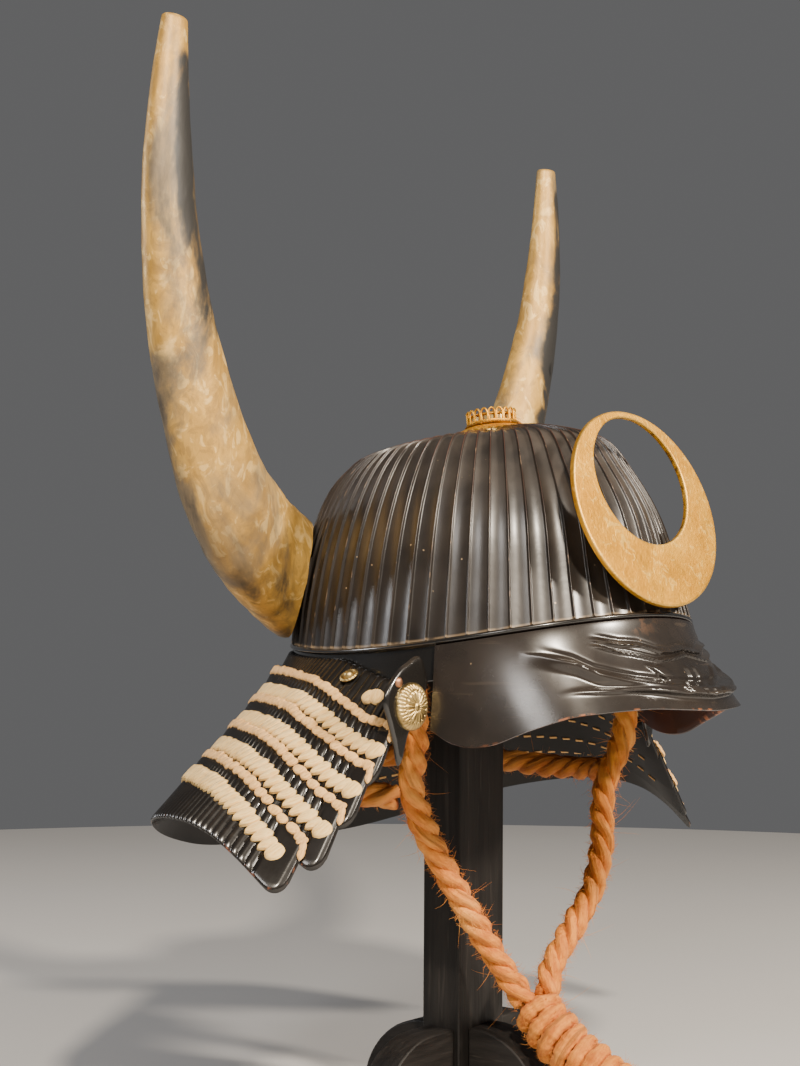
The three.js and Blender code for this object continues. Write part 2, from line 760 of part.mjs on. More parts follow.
function makeCrownRing(base) {
  const inner = crownRingRadius - crownRingWall;
  let solid = toSolid(ringGeometry(crownRingRadius, inner, base, base + crownRingHeight, crownArchCount));
  const arch = new THREE.Shape();
  const half = crownArchWidth / 2;
  arch.moveTo(-half, 0);
  arch.lineTo(half, 0);
  arch.lineTo(half, crownArchHeight - half);
  arch.absarc(0, crownArchHeight - half, half, 0, Math.PI, false);
  const cutter = new THREE.ExtrudeGeometry(arch, { depth: 4, bevelEnabled: false, curveSegments: 2 });
  cutter.rotateX(Math.PI / 2).translate(0, -inner + 1, base + (crownRingHeight - crownArchHeight) / 2);
  for (let i = 0; i < crownArchCount; i++) {
    const turned = cutter.clone().rotateZ(((i + 0.5) * 2 * Math.PI) / crownArchCount);
    solid = solid.subtract(toSolid(turned));
  }
  return piece('crown_ring', fromSolid(solid), paint.gold);
}

function makeCrown() {
  const inner = crownHoleRadius + 0.5;
  const plateTop = clearance + crownPlateThickness;
  const washerTop = plateTop + clearance + crownWasherThickness;
  const washerGeometry = ringGeometry(crownWasherRadius, inner, plateTop + clearance, washerTop, 24);
  const group = new THREE.Group();
  group.add(
    piece('crown_plate', collarGeometry(inner, plateTop), paint.gold),
    piece('crown_washer', washerGeometry, paint.brass),
    makeCrownRing(washerTop + clearance),
  );
  group.position.set(0, -crownForward, crownHeight);
  group.rotation.x = -crownTilt;
  return group;
}

// Chin cord: two hanging stretches, the stretch round the nape and the bound bundle
function cordGeometry(route, diameter, steps) {
  const path = new THREE.CatmullRomCurve3(route.map(([x, y, z]) => new THREE.Vector3(x, y, z)));
  const section = new THREE.Shape();
  for (let i = 0; i < cordSides; i++) {
    const angle = (i * 2 * Math.PI) / cordSides;
    const x = (diameter / 2) * Math.cos(angle);
    const y = (diameter / 2) * Math.sin(angle);
    if (i === 0) section.moveTo(x, y);
    else section.lineTo(x, y);
  }
  return new THREE.ExtrudeGeometry(section, { steps, extrudePath: path, bevelEnabled: false });
}

function makeAnchor(name, angle) {
  const mesh = piece(name, new THREE.BoxGeometry(anchorDepth, anchorWidth, anchorHeight), paint.iron);
  const inner = rimPoint(angle, -bandInset - bandWall - anchorGap - anchorDepth / 2, anchorDrop);
  const facing = rimDirection(angle);
  mesh.position.copy(inner);
  mesh.rotation.z = Math.atan2(facing.y, facing.x);
  return mesh;
}

// Stand: a post, four quarter-round feet and the rounded pad inside the bowl
function makePost(top) {
  const geometry = new THREE.BoxGeometry(postWidth, postDepth, top);
  const mesh = piece('stand_post', geometry, paint.wood);
  mesh.position.z = top / 2;
  return mesh;
}

function footGeometry(reach, thickness) {
  const shape = new THREE.Shape();
  const flat = reach - footHeight;
  shape.moveTo(0, 0);
  shape.lineTo(reach, 0);
  shape.absarc(flat, 0, footHeight, 0, Math.PI / 2, false);
  if (flat > 0) shape.lineTo(0, footHeight);
  const geometry = new THREE.ExtrudeGeometry(shape, { depth: thickness, bevelEnabled: false, curveSegments: 10 });
  return standUp(geometry.translate(0, 0, -thickness / 2));
}

function makeFoot(name, turn, offset, reach, thickness) {
  const mesh = piece(name, footGeometry(reach, thickness), paint.wood);
  mesh.rotation.z = turn;
  mesh.position.set(Math.cos(turn) * offset, Math.sin(turn) * offset, 0);
  return mesh;
}

function makeHeadPad() {
  const ceiling = crownHeight - ribHeight - bowlWall;
  const touch = -crownForward * Math.sin(crownTilt) + ceiling * Math.cos(crownTilt);
  const centreRise = (touch + headPadRise - headPadRadius - postSetback * Math.sin(crownTilt)) / Math.cos(crownTilt);
  const half = Math.acos((headPadRadius - headPadThickness) / headPadRadius);
  const profile = [new THREE.Vector2(0, headPadRadius - headPadThickness)];
  for (let i = 0; i <= 5; i++) {
    const angle = half * (1 - i / 5);
    profile.push(new THREE.Vector2(headPadRadius * Math.sin(angle), headPadRadius * Math.cos(angle)));
  }
  const mesh = piece('stand_head_pad', new THREE.LatheGeometry(profile, 14).rotateX(Math.PI / 2), paint.wood);
  mesh.position.z = bowlBaseHeight + centreRise;
  return { mesh, underside: bowlBaseHeight + centreRise + headPadRadius - headPadThickness };
}

// The helmet, measured from the middle of the bowl's rim
const helmet = new THREE.Group();
helmet.position.set(0, -postSetback, bowlBaseHeight);
helmet.add(makeBowl(), makeRimBand(), makeVisor(), makeCrest(), makeCrown(), makeStrap());
lames.forEach((_, index) => helmet.add(makeLame(index)));
lames.slice(1).forEach((_, index) => helmet.add(makeLacing(index + 1)));
[[-1, 'right'], [1, 'left']].forEach(([side, word]) => {
  helmet.add(
    makeHorn(side, `horn_${word}`),
    makeWing(side, `wing_${word}`),
    makeRosette(side, `rosette_${word}`),
    makeStud(side, `wing_stud_${word}`),
    makeRivet(side, `rivet_${word}`),
  );
});
helmet.add(
  makeAnchor('cord_anchor_right', rightAnchorAngle),
  makeAnchor('cord_anchor_left', leftAnchorAngle),
  piece('crown_loop', cordGeometry(crownLoopRoute, crownLoopDiameter, 6), paint.lacing),
  piece('chin_cord_right', cordGeometry(rightCordRoute, cordDiameter, 10), paint.rope),
  piece('chin_cord_left', cordGeometry(leftCordRoute, cordDiameter, 10), paint.rope),
  piece('nape_cord', cordGeometry(napeCordRoute, cordDiameter, 14), paint.rope),
  piece('cord_binding', cordGeometry(bindingRoute, bindingDiameter, 6), paint.rope),
);

const headPad = makeHeadPad();
const stand = new THREE.Group();
stand.add(
  headPad.mesh,
  makePost(headPad.underside - clearance),
  makeFoot('foot_left', 0, postWidth / 2 + clearance, sideFootReach, sideFootThickness),
  makeFoot('foot_right', Math.PI, postWidth / 2 + clearance, sideFootReach, sideFootThickness),
  makeFoot('foot_back', Math.PI / 2, postDepth / 2 + clearance, frontFootReach, frontFootThickness),
  makeFoot('foot_front', -Math.PI / 2, postDepth / 2 + clearance, frontFootReach, frontFootThickness),
);

const model = new THREE.Group();
model.add(stand, helmet);

export default model;
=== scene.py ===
# Looks of the samurai helmet on its plain wooden stand, in metres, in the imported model's frame.
# Helmet pieces are worked out round the middle of the bowl's rim, where +Z is up and the brow is at -Y.
# Angles round the helmet start at the brow and grow towards the wearer's right, -X.

import math

import bpy
import numpy as np
from mathutils import Matrix, Vector


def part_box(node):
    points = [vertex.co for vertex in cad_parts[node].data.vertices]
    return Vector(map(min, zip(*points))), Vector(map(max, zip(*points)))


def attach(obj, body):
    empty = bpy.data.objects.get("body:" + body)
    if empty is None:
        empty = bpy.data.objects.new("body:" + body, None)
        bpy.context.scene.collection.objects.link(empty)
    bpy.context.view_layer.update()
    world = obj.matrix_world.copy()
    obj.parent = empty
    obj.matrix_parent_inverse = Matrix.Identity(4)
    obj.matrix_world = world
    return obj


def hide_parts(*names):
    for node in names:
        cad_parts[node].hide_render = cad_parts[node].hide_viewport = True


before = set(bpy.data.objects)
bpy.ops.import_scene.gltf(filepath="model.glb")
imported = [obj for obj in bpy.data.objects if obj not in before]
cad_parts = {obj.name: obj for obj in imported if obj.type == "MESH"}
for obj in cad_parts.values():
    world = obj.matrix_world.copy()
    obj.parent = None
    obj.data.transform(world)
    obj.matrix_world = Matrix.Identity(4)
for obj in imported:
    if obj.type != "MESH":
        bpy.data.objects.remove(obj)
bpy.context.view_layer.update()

HELMET = np.array([0.0, -0.010, 0.268])
DEGREE = math.pi / 180
random = np.random.default_rng(7)

# Camera, fitted to the photograph
IMAGE_HEIGHT = 1066
FOCAL_PIXELS = 1700
CAMERA_TURN = -52.0 * DEGREE
CAMERA_PITCH = 4.04 * DEGREE
CAMERA_ROLL = 0.40 * DEGREE
CAMERA_PLACE = Vector((-0.8143, -0.5872, 0.2584))
SENSOR = 36.0

# Bowl
BOWL_HALF_WIDTH = 0.1017
BOWL_HALF_LENGTH = 0.1263
BROW_WIDENING = 0.208
RIM_TILT = 0.0078
RIM_WAVE = 0.0061
CROWN_HEIGHT = 0.1205
CROWN_FORWARD = 0.0095
CROWN_TILT = 6.6 * DEGREE
CROWN_SHOULDER_DROP = 0.0032
CROWN_PLATE_RADIUS = 0.025
CROWN_HOLE_RADIUS = 0.0095
PLATE_COUNT = 62
FRONT_PLATE_HALF_ANGLE = 2.9 * DEGREE
RIB_HEIGHT = 0.0022
BOWL_WALL = 0.0024

# Rim band
LIP_RADIUS = 0.0014
LIP_OUTSET = 0.0008
LIP_HEIGHT = 0.003
BAND_INSET = 0.0015
BAND_WALL = 0.0022
BAND_HEIGHT = 0.022

# Visor
VISOR_HALF_ANGLE = 69.5 * DEGREE
VISOR_WALL = 0.0024
VISOR_TOP_OUTSET = 0.0012
VISOR_TOP_DROP = 0.0036
VISOR_SIDE_FLARE = 0.005
VISOR_BROW_FLARE = 0.031
VISOR_DROP = 0.0575

# Neck guard
GUARD_HALF_WIDTH = 0.210
GUARD_HALF_LENGTH = 0.161
GUARD_DROP = 0.131
NECK_DROP = 0.0054
NECK_FRONT_DROP = 0.016
LAME_WALL = 0.0022
LAME_STEP = 0.0018
LAME_OVERLAP = 0.06
SCALE_HEIGHT = 0.0015
HEAD_RISE = 0.0008
CORNER_RADIUS = 0.010
STRIP_ANGLES = (0.6, 3.1, 3.1, 3.1, 4.6)
THICK_ROW_INSET = 1.0
THICK_ROW_START = 0.05
THICK_ROW_MIDDLE = THICK_ROW_START + 0.085 * 0.6
SCALE_SAMPLES = 10

# Turns of lacing: lean in degrees, half length, half width, height, how pointed the low end is
END_TURN = (66, 0.0060, 0.0048, 0.0025, 0.30)
THICK_TURN = (58, 0.0060, 0.0032, 0.0022, 0.80)

# Wings, rosettes, studs and rivets
WING_WIDTH = 0.035
WING_HEIGHT = 0.056
WING_WALL = 0.0022
WING_FRONT = 0.0412
WING_INSET = 0.104
WING_TOP = -0.011
ROSETTE_RADIUS = 0.0124
ROSETTE_INSET = 0.0145
ROSETTE_DROP = 0.026
RIVET_RADIUS = 0.0043
RIVET_ANGLE = 93.8 * DEGREE

# Crest
CREST_HALF_WIDTH = 0.0625
CREST_HALF_HEIGHT = 0.056
CREST_HOLE_HALF_WIDTH = 0.0409
CREST_HOLE_HALF_HEIGHT = 0.0366
CREST_HOLE_RISE = 0.0158
CREST_THICKNESS = 0.0032
CREST_LEAN = 15.4 * DEGREE
CREST_TURN = 0.1
CREST_PLACE = np.array([-0.0055, -0.1166, 0.0702])

# Horns
HORN_ROOT = np.array([0.0706, 0.094, 0.0416])
HORN_SPREAD = 0.115
HORN_RISE = 0.289
HORN_ADVANCE = 0.021
HORN_ROOT_WIDTH = 0.069
HORN_FLATNESS = 0.68
HORN_SEAT = 0.0031
# Each horn's side that faces this direction is painted in shade.
HORN_SHADED_SIDE = (0.62, -0.79, 0.0)

# Crown fittings
CROWN_RING_RADIUS = 0.0142
CROWN_RING_BASE = 0.0036
CROWN_RING_HEIGHT = 0.008
CROWN_ARCH_COUNT = 20

# Chin cord
CORD_DIAMETER = 0.0145
BINDING_DIAMETER = 0.030
STRANDS = 3
STRAND_PITCH = -0.040
STRAND_OFFSET = 0.245
STRAND_RADIUS = 0.265
WINDING_RADIUS = 0.0044
WINDING_PITCH = 0.0092

# Bowl outline from rim to crown: back reach, back rise, brow reach, brow rise.
# Reach is a share of the rim's reach, rise a share of the crown's height.
BOWL_PROFILE = [
    (1.000, 0.000, 0.980, 0.000),
    (0.985, 0.200, 0.925, 0.190),
    (0.945, 0.420, 0.864, 0.423),
    (0.890, 0.615, 0.792, 0.589),
    (0.822, 0.765, 0.699, 0.743),
    (0.738, 0.855, 0.611, 0.872),
    (0.637, 0.912, 0.519, 0.934),
    (0.380, 0.895, 0.320, 0.988),
]

# Visor edge: share of the half angle, share of the visor's drop.
VISOR_EDGE = [
    (0.00, 0.67), (0.27, 0.64), (0.39, 0.665), (0.52, 0.71), (0.61, 0.79), (0.68, 0.86),
    (0.77, 0.97), (0.84, 1.00), (0.90, 0.985), (0.95, 0.94), (1.00, 0.84),
]

# Visor relief lines: degrees from the brow, share of the way down.
BROW_LINE = [(0, 0.73), (11, 0.72), (19, 0.68), (24, 0.62), (29, 0.54), (34, 0.40), (42, 0.25), (50, 0.15)]
LOWER_LINE = [(0, 0.83), (9, 0.82), (20, 0.785), (28, 0.77), (35, 0.74), (50, 0.70)]
UPPER_WRINKLE = [(0, 0.34), (5, 0.37), (9, 0.375), (15, 0.30), (21, 0.27), (27, 0.20), (40, 0.10)]
LOWER_WRINKLE = [(0, 0.40), (5, 0.44), (11, 0.47), (16, 0.42), (22, 0.36), (27, 0.28), (40, 0.16)]

# Neck guard's lower edge: degrees from the brow, share of the guard's drop.
GUARD_EDGE = [
    (72, 1.05), (79, 0.985), (84, 0.89), (89, 0.80), (98, 0.72), (106, 0.71),
    (114, 0.72), (126, 0.765), (145, 0.88), (159, 0.955), (180, 1.00),
]

# Lames from the rim down: start at the nape, start at the front, end angle in degrees, scales.
LAMES = [
    (0.00, 0.00, 75.0, 92),
    (0.13, 0.23, 74.0, 100),
    (0.30, 0.41, 74.6, 108),
    (0.46, 0.595, 76.0, 116),
    (0.64, 0.785, 79.2, 125),
]

# Horn centre line from root to tip: shares of spread, rise, advance and root width.
HORN_LINE = [
    (-0.190, -0.040, 0.00, 1.02), (0.000, 0.000, 0.00, 1.00), (0.181, 0.037, 0.14, 0.955),
    (0.323, 0.079, 0.26, 0.92), (0.498, 0.152, 0.38, 0.84), (0.684, 0.283, 0.52, 0.73),
    (0.837, 0.437, 0.62, 0.635), (0.937, 0.595, 0.76, 0.53), (0.981, 0.731, 0.86, 0.455),
    (0.993, 0.878, 0.95, 0.345), (0.980, 1.000, 1.00, 0.245),
]

# Wing outline: shares of the wing's width outwards and height down.
WING_OUTLINE = [
    (0.22, 0.00), (0.65, 0.12), (0.95, 0.31), (1.00, 0.45), (0.88, 0.64), (0.78, 0.80),
    (0.66, 1.00), (0.50, 0.76), (0.26, 0.52), (0.00, 0.27), (0.03, 0.13),
]

# Cord routes from the middle of the bowl's rim
RIGHT_CORD_ROUTE = [
    (-0.0900, -0.0210, -0.0240), (-0.0890, -0.0210, -0.0380), (-0.0865, -0.0198, -0.0520),
    (-0.0834, -0.0166, -0.0660), (-0.0799, -0.0122, -0.0790), (-0.0736, -0.0106, -0.0920),
    (-0.0664, -0.0106, -0.1040), (-0.0588, -0.0115, -0.1160), (-0.0513, -0.0139, -0.1280),
    (-0.0439, -0.0164, -0.1400), (-0.0365, -0.0192, -0.1520), (-0.0292, -0.0224, -0.1640),
    (-0.0219, -0.0259, -0.1760), (-0.0145, -0.0299, -0.1880), (-0.0062, -0.0368, -0.2032),
]
LEFT_CORD_ROUTE = [
    (0.0880, -0.0430, -0.0222), (0.0888, -0.0455, -0.0370), (0.0882, -0.0467, -0.0520),
    (0.0845, -0.0448, -0.0660), (0.0790, -0.0413, -0.0790), (0.0741, -0.0398, -0.0930),
    (0.0706, -0.0410, -0.1070), (0.0674, -0.0430, -0.1210), (0.0615, -0.0436, -0.1350),
    (0.0556, -0.0432, -0.1480), (0.0462, -0.0412, -0.1600), (0.0366, -0.0394, -0.1710),
    (0.0262, -0.0384, -0.1810), (0.0170, -0.0390, -0.1900), (0.0090, -0.0422, -0.2024),
]
NAPE_CORD_ROUTE = [
    (-0.0834, -0.0046, -0.0870), (-0.0930, 0.0050, -0.0860), (-0.0964, 0.0205, -0.0846),
    (-0.0949, 0.0460, -0.0810), (-0.0863, 0.0702, -0.0780), (-0.0699, 0.0901, -0.0760),
    (-0.0480, 0.1037, -0.0750), (-0.0230, 0.1102, -0.0740), (0.0029, 0.1120, -0.0740),
    (0.0286, 0.1092, -0.0740), (0.0533, 0.1014, -0.0750), (0.0742, 0.0862, -0.0755),
    (0.0884, 0.0648, -0.0765), (0.0941, 0.0395, -0.0780), (0.0967, 0.0138, -0.0798),
    (0.0960, -0.0090, -0.0802), (0.0920, -0.0230, -0.0800), (0.0834, -0.0350, -0.0796),
]
BINDING_ROUTE = [
    (0.0014, -0.0392, -0.2026), (0.0000, -0.0414, -0.2089), (-0.0005, -0.0480, -0.2158),
    (-0.0009, -0.0548, -0.2215),
    (-0.0010, -0.0597, -0.2252), (-0.0007, -0.0648, -0.2290), (-0.0003, -0.0701, -0.2324),
    (0.0000, -0.0755, -0.2356), (0.0001, -0.0810, -0.2386), (0.0000, -0.0865, -0.2414),
    (0.0000, -0.0922, -0.2439), (0.0000, -0.0980, -0.2462), (0.0002, -0.1039, -0.2482),
    (0.0005, -0.1099, -0.2499), (0.0007, -0.1160, -0.2512), (0.0010, -0.1220, -0.2522),
]
CROWN_LOOP_ROUTE = [
    (0.0166, -0.0120, 0.1300), (0.0200, -0.0130, 0.1300), (0.0240, -0.0145, 0.1274),
    (0.0275, -0.0160, 0.1234), (0.0304, -0.0174, 0.1185),
]

# Studio: grey surroundings, and each light's name, place, disk size, power and colour
STUDIO_GREY = (0.62, 0.62, 0.63, 1)
STUDIO_STRENGTH = 0.20
LIGHT_AIM = (0, -0.02, 0.30)
LIGHTS = [
    ("key", (-0.86, -1.22, 1.42), 0.16, 46, (1.0, 0.88, 0.72)),
    ("second key", (0.30, -1.45, 1.05), 0.16, 34, (1.0, 0.89, 0.75)),
    ("soft box", (-1.35, -0.42, 1.22), 0.45, 9, (1.0, 0.95, 0.90)),
    ("rim", (-0.65, 1.25, 0.75), 0.35, 6, (0.96, 0.97, 1.0)),
]


# Numbers
def mix(a, b, share):
    return a + (b - a) * share


def smooth(value):
    t = np.clip(value, 0, 1)
    return t * t * (3 - 2 * t)


def bump(value, middle, width):
    return np.exp(-(((value - middle) / width) ** 2))


def read_line(line, value):
    columns = np.array(line)
    return np.interp(value, columns[:, 0], columns[:, 1])


def curve_through(points, at):
    """Points of the smooth curve through the given ones, at places counted in points."""
    points = np.asarray(points, float)
    at = np.asarray(at, float)
    padded = np.concatenate([[2 * points[0] - points[1]], points, [2 * points[-1] - points[-2]]])
    low = np.clip(np.floor(at).astype(int), 0, len(points) - 2)
    t = (at - low).reshape((-1,) + (1,) * (points.ndim - 1))
    a, b, c, d = padded[low], padded[low + 1], padded[low + 2], padded[low + 3]
    cubic = (2 * a - 5 * b + 4 * c - d) * t**2 + (3 * b - a - 3 * c + d) * t**3
    return 0.5 * (2 * b + (c - a) * t + cubic)


def unit(vectors):
    return vectors / np.maximum(np.linalg.norm(vectors, axis=-1, keepdims=True), 1e-12)


def along_route(route, spacing):
    """Evenly spaced points on the smooth curve through a route, and the distance to each."""
    fine = curve_through(route, np.linspace(0, len(route) - 1, 60 * len(route)))
    distance = np.concatenate([[0], np.cumsum(np.linalg.norm(np.diff(fine, axis=0), axis=1))])
    even = np.linspace(0, distance[-1], max(8, int(distance[-1] / spacing)))
    points = np.stack([np.interp(even, distance, fine[:, axis]) for axis in range(3)], axis=1)
    return points, even


def route_frames(points):
    """Tangent and two steady sideways directions at each point of a route."""
    tangent = unit(np.gradient(points, axis=0))
    side = np.zeros_like(tangent)
    start = np.cross(tangent[0], [0.0, 0.0, 1.0])
    if np.linalg.norm(start) < 0.1:
        start = np.cross(tangent[0], [0.0, 1.0, 0.0])
    side[0] = unit(start)
    for i in range(1, len(points)):
        side[i] = unit(side[i - 1] - tangent[i] * (side[i - 1] @ tangent[i]))
    return tangent, side, np.cross(tangent, side)


# Meshes
def new_object(name, points, faces, material, values=None, sharp=45):
    mesh = bpy.data.meshes.new(name)
    mesh.from_pydata(np.asarray(points, float).tolist(), [], faces)
    mesh.polygons.foreach_set("use_smooth", np.ones(len(mesh.polygons), dtype=bool))
    mesh.update()
    mesh.set_sharp_from_angle(angle=sharp * DEGREE)
    for key, numbers in (values or {}).items():
        layer = mesh.attributes.new(key, "FLOAT", "POINT")
        layer.data.foreach_set("value", np.asarray(numbers, float).ravel())
    mesh.materials.append(material)
    thing = bpy.data.objects.new(name, mesh)
    bpy.context.scene.collection.objects.link(thing)
    return thing


def sweep_faces(sections, around, ring, first=0):
    """Quads between neighbouring closed sections, with end faces unless the sections form a ring."""
    spans = sections if ring else sections - 1
    i, j = np.meshgrid(np.arange(spans), np.arange(around), indexing="ij")
    here = first + i * around
    there = first + ((i + 1) % sections) * around
    k = (j + 1) % around
    faces = np.stack([here + j, there + j, there + k, here + k], axis=-1).reshape(-1, 4).tolist()
    if not ring:
        end = first + (sections - 1) * around
        faces.append(list(range(first, first + around)))
        faces.append([end + j for j in reversed(range(around))])
    return faces


def outward(points, faces):
    """The faces, turned so that the solid's volume comes out positive."""
    a, b, c = (points[[face[n] for face in faces]] for n in range(3))
    first = np.einsum("ij,ij->i", a, np.cross(b, c)).sum()
    quads = [face for face in faces if len(face) == 4]
    d = points[[face[3] for face in quads]]
    a, c = (points[[face[n] for face in quads]] for n in (0, 2))
    volume = first + np.einsum("ij,ij->i", a, np.cross(c, d)).sum()
    return faces if volume > 0 else [face[::-1] for face in faces]


def sweep(name, sections, material, ring=False, values=None, origin=HELMET, sharp=45):
    """One closed solid through sections of equal point counts."""
    count, around = sections.shape[:2]
    points = sections.reshape(-1, 3)
    faces = outward(points, sweep_faces(count, around, ring))
    return new_object(name, points + origin, faces, material, values, sharp)


def tubes(name, paths, radii, sides, material, values=None):
    """Round tubes along several lists of points, as one object."""
    points = []
    faces = []
    first = 0
    circle = np.arange(sides) * 2 * math.pi / sides
    for path, radius in zip(paths, radii):
        _, side, other = route_frames(path)
        radius = np.broadcast_to(np.asarray(radius, float), (len(path),))[:, None, None]
        ring = side[:, None] * np.cos(circle)[None, :, None] + other[:, None] * np.sin(circle)[None, :, None]
        section = path[:, None] + ring * radius
        block = section.reshape(-1, 3)
        local = outward(block, sweep_faces(len(path), sides, False))
        faces.extend([[index + first for index in face] for face in local])
        points.append(block)
        first += len(block)
    return new_object(name, np.concatenate(points) + HELMET, faces, material, values)


def place_bevel(thing, width, segments):
    modifier = thing.modifiers.new("edge", "BEVEL")
    modifier.width = width
    modifier.segments = segments
    modifier.limit_method = "ANGLE"
    modifier.angle_limit = 40 * DEGREE
    modifier.harden_normals = False


def stands_for(thing, slot, *nodes):
    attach(thing, "root")
    if nodes:
        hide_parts(*nodes)
    return thing


# Materials
class Paint:
    """A material with short calls that add its nodes."""

    def __init__(self, name, **settings):
        self.material = bpy.data.materials.new(name)
        self.material.use_nodes = True
        self.nodes = self.material.node_tree.nodes
        self.links = self.material.node_tree.links
        self.shader = self.nodes["Principled BSDF"]
        for key, value in settings.items():
            self.shader.inputs[key.replace("_", " ")].default_value = value

    def add(self, kind, **inputs):
        node = self.nodes.new(kind)
        for key, value in inputs.items():
            self.join(value, node.inputs[key.replace("_", " ")])
        return node

    def join(self, value, socket):
        if isinstance(value, bpy.types.NodeSocket):
            self.links.new(value, socket)
        else:
            socket.default_value = value

    def place(self, stretch=(1, 1, 1), turn=(0, 0, 0)):
        node = self.add("ShaderNodeMapping", Scale=stretch, Rotation=turn)
        self.links.new(self.add("ShaderNodeTexCoord").outputs["Object"], node.inputs["Vector"])
        return node.outputs["Vector"]

    def pattern_place(self, x, y):
        return self.add("ShaderNodeCombineXYZ", X=x, Y=y).outputs[0]

    def value(self, name):
        node = self.nodes.new("ShaderNodeAttribute")
        node.attribute_name = name
        return node.outputs["Fac"]

    def noise(self, scale, vector=None, detail=4.0, roughness=0.55, distortion=0.0):
        node = self.add("ShaderNodeTexNoise", Scale=scale, Detail=detail, Roughness=roughness,
                        Distortion=distortion)
        self.links.new(self.place() if vector is None else vector, node.inputs["Vector"])
        return node.outputs["Fac"]

    def cells(self, scale):
        node = self.add("ShaderNodeTexVoronoi", Scale=scale)
        self.links.new(self.place(), node.inputs["Vector"])
        return node.outputs["Distance"]

    def band(self, value, low, high):
        """A number that rises from 0 to 1 while value goes from low to high."""
        node = self.add("ShaderNodeMapRange")
        node.interpolation_type = "SMOOTHSTEP"
        for key, number in zip(("Value", "From Min", "From Max"), (value, low, high)):
            self.join(number, node.inputs[key])
        return node.outputs["Result"]

    def math(self, operation, a, b=0.0):
        node = self.nodes.new("ShaderNodeMath")
        node.operation = operation
        self.join(a, node.inputs[0])
        self.join(b, node.inputs[1])
        return node.outputs[0]

    def times(self, *values):
        result = values[0]
        for value in values[1:]:
            result = self.math("MULTIPLY", result, value)
        return result

    def blend(self, share, a, b):
        node = self.nodes.new("ShaderNodeMix")
        node.data_type = "RGBA"
        self.join(share, node.inputs[0])
        self.join(a if isinstance(a, bpy.types.NodeSocket) else (*a, 1), node.inputs[6])
        self.join(b if isinstance(b, bpy.types.NodeSocket) else (*b, 1), node.inputs[7])
        return node.outputs[2]

    def spread(self, share, low, high):
        node = self.add("ShaderNodeMapRange")
        for key, number in zip(("Value", "To Min", "To Max"), (share, low, high)):
            self.join(number, node.inputs[key])
        return node.outputs["Result"]

    def colour(self, value):
        self.join(value, self.shader.inputs["Base Color"])

    def roughness(self, value):
        self.join(value, self.shader.inputs["Roughness"])

    def relief(self, height, strength, depth):
        node = self.add("ShaderNodeBump", Height=height, Strength=strength, Distance=depth)
        self.links.new(node.outputs[0], self.shader.inputs["Normal"])


def facing_up(paint):
    geometry = paint.nodes.new("ShaderNodeNewGeometry")
    split = paint.add("ShaderNodeSeparateXYZ")
    paint.links.new(geometry.outputs["Normal"], split.inputs[0])
    return split.outputs["Z"]


def specks(paint, scale, size, amount):
    """Sparse round specks: cells that are kept only where a wide noise is high."""
    dots = paint.math("SUBTRACT", 1.0, paint.band(paint.cells(scale), size * 0.5, size))
    return paint.times(dots, paint.band(paint.noise(scale * 0.45), 1 - amount, 1.04 - amount))


def bowl_lacquer():
    paint = Paint("bowl lacquer", Coat_Weight=0.25, Coat_Roughness=0.22, IOR=1.5)
    rib = paint.value("rib")
    rise = paint.value("rise")
    # Upward faces are painted lighter grey: dust, and partly a painted sheen.
    dust_and_sheen = paint.band(facing_up(paint), 0.0, 0.9)
    cloud = paint.noise(38, detail=6)
    streak = paint.noise(60, paint.place((1, 1, 0.12)), detail=5)
    grey = paint.times(paint.math("ADD", dust_and_sheen, 0.25), paint.band(cloud, 0.25, 0.75))
    base = paint.blend(grey, (0.016, 0.013, 0.011), (0.062, 0.050, 0.040))
    base = paint.blend(paint.times(paint.band(streak, 0.45, 0.7), 0.30), base, (0.050, 0.040, 0.032))
    rubbed = paint.times(paint.band(rib, 0.2, 0.8), paint.band(paint.noise(24, detail=5), 0.38, 0.60), dust_and_sheen)
    base = paint.blend(rubbed, base, (0.080, 0.024, 0.012))
    worn = paint.times(paint.band(rib, 0.7, 1.0), paint.band(paint.noise(150, detail=5), 0.58, 0.68), 0.7)
    base = paint.blend(worn, base, (0.24, 0.16, 0.10))
    base = paint.blend(specks(paint, 260, 0.20, 0.36), base, (0.55, 0.40, 0.24))
    edge = paint.math("SUBTRACT", 1.0, paint.band(rise, 0.003, 0.008))
    edge = paint.times(edge, paint.band(paint.noise(150), 0.30, 0.5), 0.8)
    paint.colour(paint.blend(edge, base, (0.27, 0.19, 0.11)))
    paint.roughness(paint.math("ADD", paint.times(dust_and_sheen, 0.16), paint.spread(cloud, 0.22, 0.38)))
    paint.relief(paint.noise(170, detail=5), 0.10, 0.0010)
    return paint.material


def plain_lacquer():
    paint = Paint("plain lacquer", Coat_Weight=0.6, Coat_Roughness=0.08, IOR=1.5)
    cloud = paint.band(paint.noise(50, detail=6), 0.4, 0.8)
    # Upward faces are painted lighter brown-grey in patches: dust, and partly a painted sheen.
    dust_and_sheen = paint.times(paint.band(facing_up(paint), 0.0, 1.0), cloud)
    base = paint.blend(dust_and_sheen, (0.010, 0.009, 0.008), (0.040, 0.030, 0.022))
    base = paint.blend(specks(paint, 300, 0.16, 0.34), base, (0.26, 0.18, 0.11))
    paint.colour(base)
    paint.roughness(paint.spread(paint.noise(40, detail=6), 0.16, 0.32))
    paint.relief(paint.noise(120, detail=4), 0.08, 0.001)
    return paint.material


